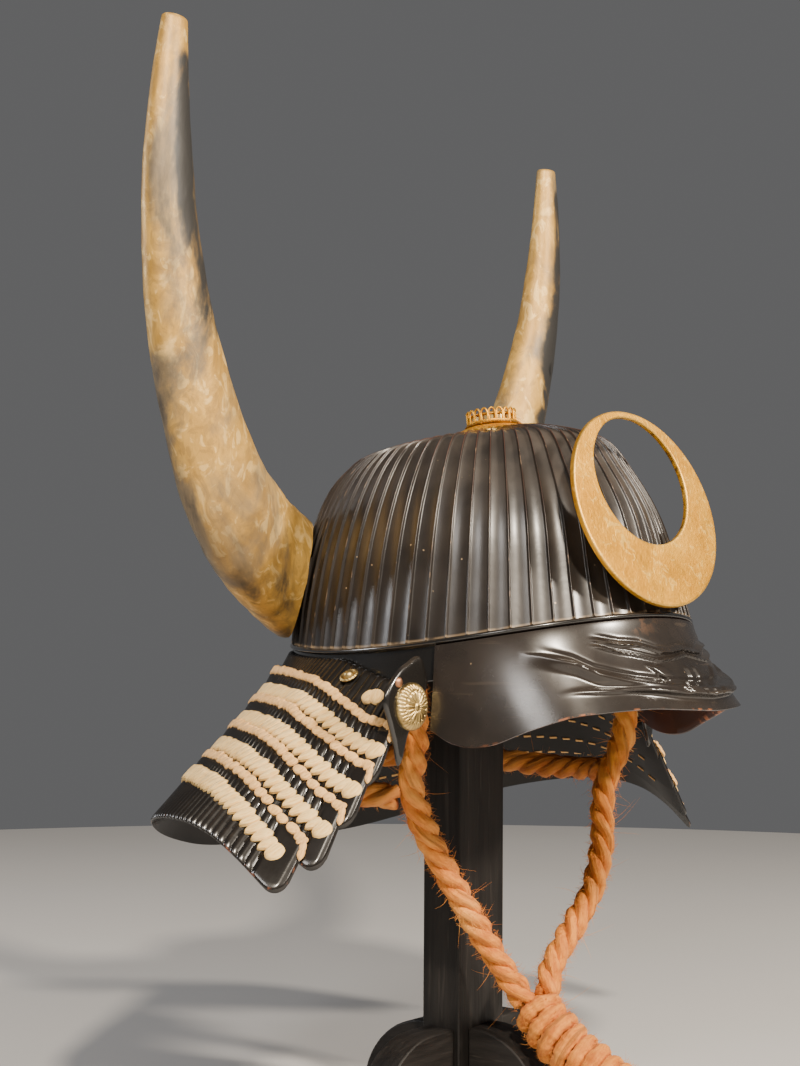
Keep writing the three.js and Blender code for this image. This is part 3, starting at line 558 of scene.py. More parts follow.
def visor_lacquer():
    paint = Paint("visor lacquer", Coat_Weight=0.3, Coat_Roughness=0.18, IOR=1.5)
    edge = paint.value("edge")
    inside = paint.value("inside")
    cloud = paint.noise(30, detail=6)
    base = paint.blend(paint.band(cloud, 0.3, 0.75), (0.014, 0.011, 0.009), (0.030, 0.023, 0.018))
    scratch = paint.noise(26, paint.place((1, 0.5, 9.0), (0.3, 0.2, 0.0)), detail=7)
    base = paint.blend(paint.times(paint.band(scratch, 0.62, 0.68), 0.18), base, (0.12, 0.09, 0.06))
    base = paint.blend(specks(paint, 280, 0.17, 0.36), base, (0.34, 0.24, 0.15))
    underside = paint.blend(paint.band(cloud, 0.3, 0.7), (0.022, 0.005, 0.003), (0.045, 0.010, 0.005))
    base = paint.blend(inside, base, underside)
    places = paint.band(paint.noise(19, detail=2), 0.50, 0.56)
    chips = paint.band(paint.noise(190, detail=6), 0.46, 0.58)
    chipped = paint.times(paint.band(edge, 0.75, 1.0), chips, places)
    base = paint.blend(chipped, base, (0.32, 0.11, 0.04))
    worn = paint.times(paint.value("patch"), paint.band(paint.noise(150, detail=6), 0.46, 0.60))
    paint.colour(paint.blend(worn, base, (0.085, 0.045, 0.024)))
    gloss = paint.spread(paint.noise(70, detail=6), 0.18, 0.34)
    paint.roughness(paint.math("MAXIMUM", gloss, paint.times(inside, 0.6)))
    paint.relief(paint.noise(90, detail=5), 0.05, 0.001)
    return paint.material


def scale_lacquer():
    paint = Paint("scale lacquer", Coat_Weight=0.25, Coat_Roughness=0.12, IOR=1.5)
    rib = paint.value("rib")
    inside = paint.value("inside")
    worn = paint.times(paint.band(rib, 0.7, 1.0), paint.band(paint.noise(60, detail=6), 0.5, 0.75))
    base = paint.blend(paint.times(worn, 0.5), (0.010, 0.008, 0.0065), (0.052, 0.038, 0.026))
    chip = paint.times(paint.value("edge"), paint.band(paint.noise(160, detail=6), 0.58, 0.68))
    base = paint.blend(chip, base, (0.26, 0.09, 0.045))
    paint.colour(paint.blend(inside, base, (0.006, 0.005, 0.0045)))
    gloss = paint.spread(paint.noise(60, detail=6), 0.16, 0.34)
    paint.roughness(paint.math("MAXIMUM", gloss, paint.times(inside, 0.85)))
    paint.relief(paint.noise(150, detail=5), 0.08, 0.001)
    return paint.material


def gold_leaf():
    paint = Paint("gold leaf", Metallic=0.86)
    wall = paint.value("wall")
    patch = paint.noise(34, detail=7, roughness=0.62)
    mottle = paint.noise(150, detail=6, distortion=1.5)
    base = paint.blend(paint.band(patch, 0.34, 0.68), (0.68, 0.32, 0.020), (0.92, 0.49, 0.050))
    base = paint.blend(paint.times(paint.band(mottle, 0.55, 0.65), 0.5), base, (1.0, 0.66, 0.16))
    base = paint.blend(paint.times(paint.band(mottle, 0.45, 0.36), 0.35), base, (0.50, 0.24, 0.02))
    # Painted highlight: the bevels along the crest's edges are brighter yellow.
    base = paint.blend(paint.times(paint.value("edge"), 0.5), base, (1.0, 0.70, 0.22))
    pits = paint.times(wall, paint.band(paint.noise(240, detail=5), 0.50, 0.60))
    paint.colour(paint.blend(paint.times(pits, 0.75), base, (0.20, 0.09, 0.02)))
    curls = paint.noise(210, detail=6, distortion=2.5)
    paint.roughness(paint.spread(paint.noise(80, detail=6), 0.40, 0.58))
    height = paint.math("ADD", curls, paint.times(pits, -3.0))
    paint.relief(paint.math("ADD", height, paint.times(mottle, 0.6)), 0.22, 0.0012)
    return paint.material


def metal(name, light, dark, low, high):
    paint = Paint(name, Metallic=1.0)
    patch = paint.noise(120, detail=6)
    paint.colour(paint.blend(paint.band(patch, 0.32, 0.68), dark, light))
    paint.roughness(paint.spread(patch, low, high))
    paint.relief(paint.noise(480, detail=4), 0.2, 0.0006)
    return paint.material


def horn_gilt():
    paint = Paint("worn horn gilding", Metallic=0.30, Coat_Weight=0.15, Coat_Roughness=0.4)
    along = paint.value("along")
    ahead = paint.value("ahead")
    broad = paint.noise(17, paint.place((1, 1, 0.5)), detail=6, roughness=0.6, distortion=0.6)
    flakes = paint.noise(46, paint.place((1, 1, 0.6)), detail=8, roughness=0.68, distortion=0.8)
    curls = paint.noise(110, paint.place((1, 1, 0.6), (0.5, 0.2, 0)), detail=7, distortion=1.5)
    gilt = paint.blend(paint.band(flakes, 0.35, 0.65), (0.46, 0.25, 0.045), (0.70, 0.41, 0.09))
    gilt = paint.blend(paint.times(paint.band(curls, 0.54, 0.62), 0.5), gilt, (1.0, 0.70, 0.26))
    gilt = paint.blend(paint.times(paint.band(curls, 0.46, 0.38), 0.45), gilt, (0.33, 0.19, 0.05))
    pale = paint.times(paint.band(paint.noise(24, detail=5, distortion=0.8), 0.56, 0.62), 0.75)
    gilt = paint.blend(pale, gilt, (0.92, 0.62, 0.22))
    rubbed = paint.blend(flakes, (0.085, 0.080, 0.074), (0.26, 0.20, 0.12))
    colour = paint.blend(paint.times(paint.band(broad, 0.47, 0.61), 0.85), gilt, rubbed)
    root = paint.band(along, 0.30, 0.06)
    stretch = paint.times(paint.band(along, 0.42, 0.62), paint.band(along, 0.985, 0.93))
    # Painted shade: the upper horn goes dark on the side that faces one fixed direction.
    edge = paint.times(paint.band(ahead, 0.25, 0.85), stretch)
    # Dark charcoal: rubbed-off gilt from the noises, darker towards the root, and the painted shade above.
    worn_and_shaded = paint.math("ADD", paint.times(root, 0.20), paint.times(edge, 0.19))
    worn_and_shaded = paint.math("ADD", worn_and_shaded, paint.math("ADD", broad, paint.times(flakes, 0.25)))
    colour = paint.blend(paint.band(worn_and_shaded, 0.70, 0.86), colour, (0.040, 0.038, 0.035))
    black = paint.math("SUBTRACT", 1.0, paint.band(paint.cells(34), 0.10, 0.22))
    black = paint.times(black, paint.band(paint.noise(21), 0.55, 0.60), paint.band(curls, 0.40, 0.50))
    paint.colour(paint.blend(black, colour, (0.012, 0.011, 0.010)))
    paint.roughness(paint.spread(flakes, 0.40, 0.62))
    paint.relief(paint.math("ADD", flakes, paint.times(curls, 0.6)), 0.30, 0.0014)
    return paint.material


def silk():
    paint = Paint("cream lacing", Roughness=0.78, Sheen_Weight=0.15, Sheen_Roughness=0.5)
    along = paint.value("along")
    across = paint.value("across")
    tone = paint.value("tone")
    place = paint.pattern_place(paint.times(along, 0.8), paint.times(across, 5.5))
    threads = paint.noise(1.0, place, detail=3)
    old = paint.noise(70, detail=6)
    light = paint.blend(tone, (1.0, 0.70, 0.29), (0.97, 0.57, 0.21))
    dark = paint.blend(tone, (0.84, 0.50, 0.15), (0.70, 0.37, 0.11))
    base = paint.blend(paint.band(threads, 0.30, 0.60), dark, light)
    paint.colour(paint.blend(paint.times(paint.band(old, 0.52, 0.75), 0.35), base, (0.76, 0.42, 0.13)))
    paint.relief(threads, 0.7, 0.0012)
    return paint.material


def hemp():
    paint = Paint("hemp rope", Roughness=0.82, Sheen_Weight=0.05, Sheen_Roughness=0.6)
    along = paint.value("along")
    around = paint.value("around")
    place = paint.pattern_place(paint.times(around, 5.5), paint.times(along, 90.0))
    fibres = paint.noise(1.0, place, detail=7, roughness=0.7)
    long_place = paint.pattern_place(paint.times(around, 11.0), paint.times(along, 30.0))
    long_fibres = paint.noise(1.0, long_place, detail=5)
    patch = paint.noise(34, detail=5)
    base = paint.blend(paint.band(fibres, 0.3, 0.7), (0.50, 0.12, 0.008), (0.86, 0.32, 0.038))
    pale = paint.blend(long_fibres, (0.66, 0.20, 0.020), (1.0, 0.50, 0.11))
    base = paint.blend(paint.band(patch, 0.45, 0.70), base, pale)
    # Painted shade: the nape cord, which runs inside the neck guard, is darkened towards deep brown.
    base = paint.blend(paint.times(paint.value("painted_shade"), 0.75), base, (0.20, 0.045, 0.018))
    paint.colour(base)
    paint.relief(paint.math("ADD", fibres, long_fibres), 0.9, 0.0014)
    return paint.material


def stained_wood(name, stretch):
    paint = Paint(name, Specular_IOR_Level=0.28)
    grain_place = paint.place(stretch)
    grain = paint.noise(110, grain_place, detail=7, roughness=0.65)
    pores = paint.noise(330, grain_place, detail=4)
    base = paint.blend(paint.band(grain, 0.35, 0.7), (0.007, 0.006, 0.0055), (0.022, 0.019, 0.017))
    base = paint.blend(paint.times(paint.band(pores, 0.58, 0.72), 0.5), base, (0.050, 0.043, 0.037))
    paint.colour(base)
    paint.roughness(paint.spread(grain, 0.42, 0.66))
    paint.relief(paint.math("ADD", grain, paint.times(pores, 0.5)), 0.4, 0.0012)
    return paint.material


# Camera and cords
def make_camera():
    data = bpy.data.cameras.new("camera")
    data.sensor_width = SENSOR
    data.lens = FOCAL_PIXELS / IMAGE_HEIGHT * SENSOR
    data.clip_start = 0.01
    camera = bpy.data.objects.new("camera", data)
    ahead = Vector((-math.sin(CAMERA_TURN) * math.cos(CAMERA_PITCH),
                    math.cos(CAMERA_TURN) * math.cos(CAMERA_PITCH), math.sin(CAMERA_PITCH)))
    level = Vector((math.cos(CAMERA_TURN), math.sin(CAMERA_TURN), 0))
    above = level.cross(ahead)
    right = level * math.cos(CAMERA_ROLL) + above * math.sin(CAMERA_ROLL)
    up = above * math.cos(CAMERA_ROLL) - level * math.sin(CAMERA_ROLL)
    camera.matrix_world = Matrix((
        (right.x, up.x, -ahead.x, CAMERA_PLACE.x),
        (right.y, up.y, -ahead.y, CAMERA_PLACE.y),
        (right.z, up.z, -ahead.z, CAMERA_PLACE.z),
        (0, 0, 0, 1),
    ))
    bpy.context.scene.collection.objects.link(camera)
    bpy.context.scene.camera = camera


def strand_paths(points, distance, offset):
    _, side, other = route_frames(points)
    paths = []
    for n in range(STRANDS):
        turn = distance / STRAND_PITCH * 2 * math.pi + n * 2 * math.pi / STRANDS
        ring = side * np.cos(turn)[:, None] + other * np.sin(turn)[:, None]
        paths.append(points + ring * offset)
    return paths


def twisted_rope(name, route, diameter, material, painted_shade):
    """A laid rope: strands wound round each other, each a lumpy tube."""
    points, distance = along_route(np.array(route), 0.0011)
    sides = 16
    circle = np.arange(sides) * 2 * math.pi / sides
    blocks, faces, values = [], [], {"along": [], "around": [], "painted_shade": []}
    for n, path in enumerate(strand_paths(points, distance, diameter * STRAND_OFFSET)):
        _, side, other = route_frames(path)
        lump = 1 + 0.06 * np.sin(distance * 420 + n * 2.1) + 0.04 * np.sin(distance * 1130 + n)
        radius = diameter * STRAND_RADIUS * lump
        swell = 1 + 0.05 * np.sin(3 * circle[None] + distance[:, None] * 260 + n)
        ring = side[:, None] * np.cos(circle)[None, :, None] + other[:, None] * np.sin(circle)[None, :, None]
        block = (path[:, None] + ring * (radius[:, None] * swell)[:, :, None]).reshape(-1, 3)
        local = outward(block, sweep_faces(len(path), sides, False, 0))
        first = sum(len(done) for done in blocks)
        faces.extend([[index + first for index in face] for face in local])
        blocks.append(block)
        shape = (len(path), sides)
        values["along"].append(np.broadcast_to(distance[:, None], shape).ravel())
        values["around"].append(np.broadcast_to(circle[None] / (2 * math.pi) + n * 3.7, shape).ravel())
        values["painted_shade"].append(np.full(len(path) * sides, painted_shade))
    joined = {key: np.concatenate(parts) for key, parts in values.items()}
    rope = new_object(name, np.concatenate(blocks) + HELMET, faces, material, joined, sharp=180)
    return rope, points + HELMET


def rope_fuzz(name, route, diameter, count, material, painted_shade=0.0):
    """Loose fibres that stand out of a rope."""
    points, _ = along_route(np.array(route), 0.002)
    tangent, side, other = route_frames(points)
    paths = []
    for _ in range(count):
        i = random.integers(1, len(points) - 1)
        turn = random.uniform(0, 2 * math.pi)
        out = side[i] * math.cos(turn) + other[i] * math.sin(turn)
        lean = tangent[i] * random.uniform(-1.0, 1.4)
        is_long = random.random() < 0.05
        length = random.uniform(0.006, 0.010) if is_long else random.uniform(0.0015, 0.0040)
        start = points[i] + out * diameter * 0.46
        bend = unit(out + lean) * length
        curl = random.normal(0, 0.8 if is_long else 0.35, 3) * length
        t = np.linspace(0, 1, 5)[:, None]
        paths.append(start + bend * t + curl * t * t)
    radius = np.array([1.0, 0.9, 0.75, 0.5, 0.2]) * 0.00011
    total = sum(len(path) for path in paths) * 3
    values = {"along": np.repeat(np.linspace(0, 1, total // 3), 3), "around": np.zeros(total),
              "painted_shade": np.full(total, painted_shade)}
    return tubes(name, paths, [radius] * len(paths), 3, material, values)


def make_binding(material):
    """The cord's ends bound into one thick bundle by a wound cord."""
    points, distance = along_route(np.array(BINDING_ROUTE), 0.0011)
    taper = smooth(distance / 0.02) * 0.12 + 0.88
    _, side, other = route_frames(points)
    fine = np.linspace(0, distance[-1], len(points) * 8)
    centre = np.stack([np.interp(fine, distance, points[:, axis]) for axis in range(3)], axis=1)
    side = unit(np.stack([np.interp(fine, distance, side[:, axis]) for axis in range(3)], axis=1))
    other = unit(np.stack([np.interp(fine, distance, other[:, axis]) for axis in range(3)], axis=1))
    turn = fine / WINDING_PITCH * 2 * math.pi
    wobble = 1 + 0.05 * np.sin(turn * 0.37 + 1.0)
    reach = (BINDING_DIAMETER / 2 - WINDING_RADIUS) * np.interp(fine, distance, taper) * wobble
    helix = centre + (side * np.cos(turn)[:, None] + other * np.sin(turn)[:, None]) * reach[:, None]
    core_radius = BINDING_DIAMETER / 2 - 1.6 * WINDING_RADIUS
    sides = 12
    lengths = np.concatenate([[0], np.cumsum(np.linalg.norm(np.diff(helix, axis=0), axis=1))])
    lumps = WINDING_RADIUS * (1 + 0.07 * np.sin(lengths * 700) + 0.05 * np.sin(lengths * 1900))
    along = np.concatenate([np.repeat(lengths, sides), np.repeat(distance, sides)])
    around = np.tile(np.arange(sides) / sides, len(helix) + len(points))
    values = {"along": along, "around": around, "painted_shade": np.zeros(len(along))}
    radii = [lumps, core_radius * taper]
    return tubes("cord_binding_windings", [helix, points], radii, sides, material, values)


def make_cords():
    rope = hemp()
    binding = make_binding(rope)
    binding_fuzz = rope_fuzz("binding_fibres", BINDING_ROUTE, BINDING_DIAMETER, 900, rope)
    stands_for(binding, "hemp_rope", "cord_binding")
    stands_for(binding_fuzz, "hemp_rope")
    # The fifth number is painted shade: 0.35 on the nape cord inside the neck guard.
    cords = [
        ("chin_cord_right", RIGHT_CORD_ROUTE, "knot", 1300, 0.0, [binding, binding_fuzz]),
        ("chin_cord_left", LEFT_CORD_ROUTE, "knot", 1300, 0.0, []),
        ("nape_cord", NAPE_CORD_ROUTE, "object", 1000, 0.35, []),
    ]
    for node, route, far_end, hairs, painted_shade, carried in cords:
        piece, path = twisted_rope(f"{node}_rope", route, CORD_DIAMETER, rope, painted_shade)
        fuzz = rope_fuzz(f"{node}_fibres", route, CORD_DIAMETER, hairs, rope, painted_shade)
        stands_for(piece, "hemp_rope", node)
        stands_for(fuzz, "hemp_rope")


# Bowl
def rim_direction(angle):
    x = -BOWL_HALF_WIDTH * np.sin(angle) * (1 + BROW_WIDENING * np.cos(angle))
    y = -BOWL_HALF_LENGTH * np.cos(angle) + CROWN_FORWARD
    return np.stack([x, y], axis=-1)


def bowl_rows(angle):
    """The bowl outline's key points at each angle, from rim to crown hole: rows, angles, xyz."""
    brow = (1 + np.cos(angle)) / 2
    flat = rim_direction(angle)
    rows = []
    for back_reach, back_rise, brow_reach, brow_rise in BOWL_PROFILE:
        reach = mix(back_reach, brow_reach, brow)
        rise = mix(back_rise, brow_rise, brow)
        x = flat[:, 0] * reach
        y = flat[:, 1] * reach - CROWN_FORWARD
        z = RIM_TILT * reach * np.cos(angle) + RIM_WAVE * np.cos(2 * angle) * (1 - rise) + CROWN_HEIGHT * rise
        rows.append(np.stack([x, y, z], axis=-1))
    for radius, drop in ((CROWN_PLATE_RADIUS, CROWN_SHOULDER_DROP), (CROWN_HOLE_RADIUS, 0.0)):
        round_flat = unit(flat) * radius
        y = round_flat[:, 1] - CROWN_FORWARD
        z = CROWN_HEIGHT - (y + CROWN_FORWARD) * math.tan(CROWN_TILT) - drop
        rows.append(np.stack([round_flat[:, 0], y, z], axis=-1))
    return np.array(rows)


def bowl_grid(angles, steps):
    """Bowl surface without ribs as angles, steps, xyz."""
    return curve_through(bowl_rows(angles), steps).transpose(1, 0, 2)


def grid_normals(grid, wrap):
    if wrap:
        padded = np.concatenate([grid[-1:], grid, grid[:1]])
        around = (padded[2:] - padded[:-2])
    else:
        around = np.gradient(grid, axis=0)
    normals = unit(np.cross(around, np.gradient(grid, axis=1)))
    middle = grid.reshape(-1, 3).mean(axis=0)
    facing = np.einsum("ijk,ijk->ij", normals, grid - middle).mean()
    return normals if facing > 0 else -normals


def rim_point(angle, outset, drop):
    """Points round the bowl's rim, moved outwards and down."""
    reach = mix(1.0, BOWL_PROFILE[0][2], (1 + np.cos(angle)) / 2)
    flat = rim_direction(angle)
    length = np.linalg.norm(flat, axis=-1)
    flat = flat / length[..., None] * (length * reach + outset)[..., None]
    z = RIM_TILT * reach * np.cos(angle) + RIM_WAVE * np.cos(2 * angle) - drop
    return np.stack([flat[..., 0], flat[..., 1] - CROWN_FORWARD, z + 0 * length], axis=-1)


def plate_depth(across):
    """Depth of a plate below its ribs: 0 on a rib, 1 in the plate's hollow middle."""
    edge = np.minimum(across, 1 - across)
    return 0.60 * smooth((edge - 0.018) / 0.055) + 0.40 * np.sin(math.pi * np.clip(edge, 0, 0.5))


def make_bowl():
    half = np.array([0, 0.018, 0.034, 0.050, 0.073, 0.11, 0.19, 0.33])
    columns = np.concatenate([half, [0.5], 1 - half[:0:-1]])
    first = FRONT_PLATE_HALF_ANGLE
    step = (2 * math.pi - 2 * first) / (PLATE_COUNT - 1)
    widths = np.full(PLATE_COUNT, step)
    widths[-1] = 2 * first
    starts = first + np.arange(PLATE_COUNT) * step
    angles = (starts[:, None] + widths[:, None] * columns).ravel()
    across = np.tile(columns, PLATE_COUNT)
    steps = np.concatenate([np.linspace(0, 7, 60), np.linspace(7.14, 9, 14)])
    base = bowl_grid(angles, steps)
    normals = grid_normals(base, True)
    fade = 1 - 0.75 * smooth((steps - 7.0) / 1.6)
    depth = RIB_HEIGHT * plate_depth(across)[:, None] * fade[None]
    sunk = 0.0007 * smooth((steps - 7.75) / 0.25)
    outside = base - normals * (depth + sunk[None])[..., None]
    inside_steps = steps[::-6]
    inside = (base - normals * (RIB_HEIGHT + BOWL_WALL))[:, ::-6]
    sections = np.concatenate([outside, inside], axis=1)
    rib = 1 - smooth((np.minimum(across, 1 - across) - 0.02) / 0.05)
    rib = np.broadcast_to(rib[:, None], outside.shape[:2])
    values = {
        "rib": np.concatenate([rib, np.zeros((len(angles), len(inside_steps)))], axis=1),
        "rise": np.broadcast_to(np.concatenate([steps, inside_steps + 1])[None] / 9, sections.shape[:2]),
    }
    bowl = sweep("bowl_plates", sections, bowl_lacquer(), ring=True, values=values, sharp=60)
    stands_for(bowl, "black_lacquer", "bowl")


def make_rim_band(material):
    angles = np.linspace(0, 2 * math.pi, 361)[:-1]
    turn = np.linspace(-80, 90, 9) * DEGREE
    middle = LIP_OUTSET - LIP_RADIUS
    outline = [(middle + LIP_RADIUS * math.cos(t), 0.0017 + LIP_RADIUS * math.sin(t)) for t in turn]
    outline += [
        (-BAND_INSET, LIP_HEIGHT + 0.0006), (-BAND_INSET, BAND_HEIGHT - 0.0006),
        (-BAND_INSET - 0.0006, BAND_HEIGHT), (-BAND_INSET - BAND_WALL, BAND_HEIGHT - 0.0003),
        (-BAND_INSET - BAND_WALL, 0.0003),
    ]
    sections = np.stack([rim_point(angles, outset, drop) for outset, drop in outline], axis=1)
    band = sweep("rim_band_lip", sections, material, ring=True)
    stands_for(band, "black_lacquer", "rim_band")


# Visor
def visor_relief(degrees, share):
    """Height of the embossed brows, wrinkles and frown, in metres."""
    brow_top = read_line(BROW_LINE, degrees)
    lower = read_line(LOWER_LINE, degrees)
    below = (share - brow_top) / 0.17
    roll = smooth(below / 0.16) * (1 - smooth((below - 0.15) / 1.0))
    brow = 0.0052 * roll * smooth((48 - degrees) / 16)
    hollow = -0.0016 * bump(share, brow_top - 0.035, 0.035) * smooth((44 - degrees) / 14)
    ridge = 0.0020 * bump(share, lower, 0.030) * smooth((40 - degrees) / 14)
    fade = smooth((30 - degrees) / 7)
    upper_fold = share - read_line(UPPER_WRINKLE, degrees)
    lower_fold = share - read_line(LOWER_WRINKLE, degrees)
    folds = 0.0016 * bump(upper_fold, 0, 0.018) - 0.0009 * bump(upper_fold, -0.045, 0.03)
    folds += 0.0017 * bump(lower_fold, 0, 0.018) - 0.0010 * bump(lower_fold, -0.035, 0.022)
    middle = 12.5 - 6.5 * (share - 0.56) / 0.24
    strip = smooth((share - 0.50) / 0.05) * (1 - smooth((share - 0.80) / 0.04))
    frown = 0.0015 * strip * smooth((2.6 - np.abs(degrees - middle)) / 0.8)
    frown += 0.0015 * strip * smooth((1.7 - np.abs(degrees - 1.7)) / 0.7)
    return brow + hollow + ridge + folds * fade + frown


def visor_point(angle, share, inward, raised):
    edge_share = np.abs(angle) / VISOR_HALF_ANGLE
    flare = mix(VISOR_SIDE_FLARE, VISOR_BROW_FLARE, np.cos(angle) ** 2)
    shifts = np.linspace(-0.03, 0.03, 7)
    drops = [read_line(VISOR_EDGE, np.abs(edge_share + shift)) for shift in shifts]
    drop = VISOR_DROP * np.mean(drops, axis=0)
    top = rim_point(angle, VISOR_TOP_OUTSET - inward + 0 * angle, VISOR_TOP_DROP)
    edge = rim_point(angle, flare - inward, 0.0)
    bow = (share**1.25)[..., None]
    flat = mix(top[..., :2], edge[..., :2], bow)
    flat = flat + unit(flat) * raised[..., None]
    return np.concatenate([flat, mix(top[..., 2], -drop, share)[..., None]], axis=-1)


def make_visor():
    angles = np.linspace(-1, 1, 301) * VISOR_HALF_ANGLE
    shares = np.linspace(0, 1, 91)
    a, s = np.meshgrid(angles, shares, indexing="ij")
    outside = visor_point(a, s, 0.0, visor_relief(np.abs(a) / DEGREE, s))
    a_in, s_in = np.meshgrid(angles, np.linspace(1, 0, 16), indexing="ij")
    soft_relief = 0.6 * visor_relief(np.abs(a_in) / DEGREE, s_in)
    inside = visor_point(a_in, s_in, VISOR_WALL, soft_relief)
    lip = 0.5 * (outside[:, -1:] + inside[:, :1]) - np.array([0, 0, 0.0005])
    sections = np.concatenate([outside, lip, inside], axis=1)
    ones = np.ones((len(angles), 1))
    edge = np.concatenate([smooth((s - 0.93) / 0.07), ones, smooth((s_in - 0.80) / 0.2)], axis=1)
    hidden = np.concatenate([0 * s, ones, 1 + 0 * s_in], axis=1)
    patch = bump(a / DEGREE, 14.0, 5.5) * bump(s, 0.06, 0.11)
    patch = np.concatenate([patch, 0 * ones, 0 * s_in], axis=1)
    values = {"edge": edge, "inside": hidden, "patch": patch}
    visor = sweep("visor_relief", sections, visor_lacquer(), values=values, sharp=50)
    stands_for(visor, "brown_black_lacquer", "visor")


# Neck guard
def guard_frame(angle):
    """Neck point, run to the lower edge and outward direction at each angle."""
    around = np.minimum(angle, 2 * math.pi - angle)
    near_front = smooth((105 * DEGREE - around) / (30 * DEGREE))
    neck = rim_point(angle, 0 * angle, NECK_DROP + NECK_FRONT_DROP * near_front)
    shifts = np.linspace(-5, 5, 11)
    shares = [read_line(GUARD_EDGE, np.minimum(around / DEGREE + shift, 180)) for shift in shifts]
    x = -GUARD_HALF_WIDTH * np.sin(angle)
    y = -GUARD_HALF_LENGTH * np.cos(angle)
    z = -GUARD_DROP * np.mean(shares, axis=0)
    run = np.stack([x, y, z], axis=-1) - neck
    flat = unit(run[..., :2])
    reach = np.linalg.norm(run[..., :2], axis=-1)
    normal = unit(np.concatenate([flat * -run[..., 2:3], reach[..., None]], axis=-1))
    return neck, run, normal


def guard_point(angle, share, offset):
    neck, run, normal = guard_frame(angle)
    return neck + run * share[..., None] + normal * offset[..., None]


def lame_start(index, angle):
    nape, front = LAMES[index][:2]
    around = np.minimum(angle, 2 * math.pi - angle) / DEGREE
    return mix(nape, front, smooth((130 - around) / 55))


def lame_end(index, angle):
    if index == len(LAMES) - 1:
        return np.ones_like(angle)
    return lame_start(index + 1, angle) + LAME_OVERLAP


def lame_offset(index, along):
    top = 0.0 if index == 0 else LAME_STEP
    bottom = 0.0 if index == len(LAMES) - 1 else -LAME_STEP
    return mix(top, bottom, along)


def lame_angles(index):
    """Angles across a lame, and the same places counted in scales."""
    end, scales = LAMES[index][2:]
    count = np.linspace(0, scales, scales * SCALE_SAMPLES + 1)
    return mix(end, 360 - end, count / scales) * DEGREE, count


def end_strip(index, angle):
    """1 on the smooth strip at a lame's ends, 0 on its scales."""
    around = np.minimum(angle, 2 * math.pi - angle) / DEGREE
    width = STRIP_ANGLES[index]
    return 1 - smooth((around - LAMES[index][2] - width) / 0.5)


def corner_cut(index, angles):
    """How much a lame's lower edge rises towards its rounded front corners, as a share of the guard."""
    around = np.minimum(angles, 2 * math.pi - angles) - LAMES[index][2] * DEGREE
    inset = np.clip(CORNER_RADIUS - around * GUARD_HALF_WIDTH, 0, CORNER_RADIUS)
    return (CORNER_RADIUS - np.sqrt(CORNER_RADIUS**2 - inset**2)) / GUARD_DROP


def make_lame(index, material):
    angles, count = lame_angles(index)
    rib = np.abs(np.cos(math.pi * count))
    strip = end_strip(index, angles)
    start, end = lame_start(index, angles), lame_end(index, angles) - corner_cut(index, angles)
    scallop = 0.012 * (1 - rib**0.8) * (1 - strip) * (1 if index > 0 else 0.3)
    rows = np.array([0, 0.02, 0.05, 0.1, 0.2, 0.32, 0.45, 0.6, 0.75, 0.88, 0.96, 0.99, 1.0])
    outside = []
    half = LAME_WALL / 2
    from_end = np.minimum(angles, 2 * math.pi - angles) / DEGREE - LAMES[index][2]
    end_bulge = 0.0008 * strip * smooth(from_end / 0.8)
    for along in rows:
        share = mix(start + scallop, end, along)
        head = (1 - smooth((share - start - THICK_ROW_START) / 0.02)) * (index > 0)
        rounding = 0.0008 * smooth((along - 0.975) / 0.025) + 0.0011 * (1 - smooth(along / 0.04))
        groove = SCALE_HEIGHT * (1 + 0.3 * head) * (1 - rib ** mix(0.8, 0.45, head)) * (1 - strip)
        raised = HEAD_RISE * head * (1 - strip)
        offset = half + raised - groove + end_bulge - rounding + lame_offset(index, along)
        outside.append(guard_point(angles, share, offset))
    inside = [guard_point(angles, mix(start, end, along), lame_offset(index, along) - half + 0 * angles)
              for along in (1, 0.5, 0)]
    sections = np.stack(outside + inside, axis=1)
    ribs = np.stack([rib * (1 - strip)] * len(rows) + [0 * rib] * 3, axis=1)
    edges = np.stack([0 * rib + (along > 0.97) for along in rows] + [0 * rib] * 3, axis=1)
    hidden = np.stack([0 * rib] * len(rows) + [0 * rib + 1] * 3, axis=1)
    values = {"rib": ribs, "edge": edges, "inside": hidden}
    lame = sweep(f"lame_{index + 1}_scales", sections, material, values=values, sharp=70)
    stands_for(lame, "black_lacquer", f"lame_{index + 1}")


def guard_spot(index, degrees, share, side):
    """Place on a lame's outside, with directions to the front, down and out."""
    spots = np.array([degrees, degrees - 0.5]) * DEGREE
    angles = spots if side < 0 else 2 * math.pi - spots
    along = (share - lame_start(index, angles)) / (lame_end(index, angles) - lame_start(index, angles))
    here, ahead = guard_point(angles, share + 0 * angles, lame_offset(index, along) + LAME_WALL / 2)
    neck, run, normal = (part[0] for part in guard_frame(angles))
    down = unit(run)
    front = ahead - here
    return here, unit(front - down * (front @ down)), down, normal


def lobe_points(spot, lean, half_length, half_width, height, point, thickness=0.0008):
    """One leaf-shaped turn of braid: rows along its length, columns over its back and under it."""
    here, front, down, normal = spot
    axis = front * math.cos(lean) - down * math.sin(lean)
    side = front * math.sin(lean) + down * math.cos(lean)
    t = np.linspace(-0.995, 0.995, 9)
    width = np.sqrt(1 - t * t) ** 0.8 * (1 - point * np.clip(-t, 0, 1) ** 1.3)
    u = np.linspace(-1, 1, 11)
    threads = 1 - 0.16 * (np.arange(11) % 2)
    arch = np.sqrt(np.clip(1 - u * u, 0, 1)) ** 0.8 * threads
    rise = height * np.sqrt(1 - t**4)
    along = here + axis * (t * half_length)[:, None]
    top = (along[:, None] + side * (width[:, None] * u * half_width)[..., None]
           + normal * (rise[:, None] * arch)[..., None])
    low = (along[:, None] + side * (width[:, None] * u[::-5] * half_width * 0.8)[..., None]
           - normal * thickness)
    return np.concatenate([top, low], axis=1)


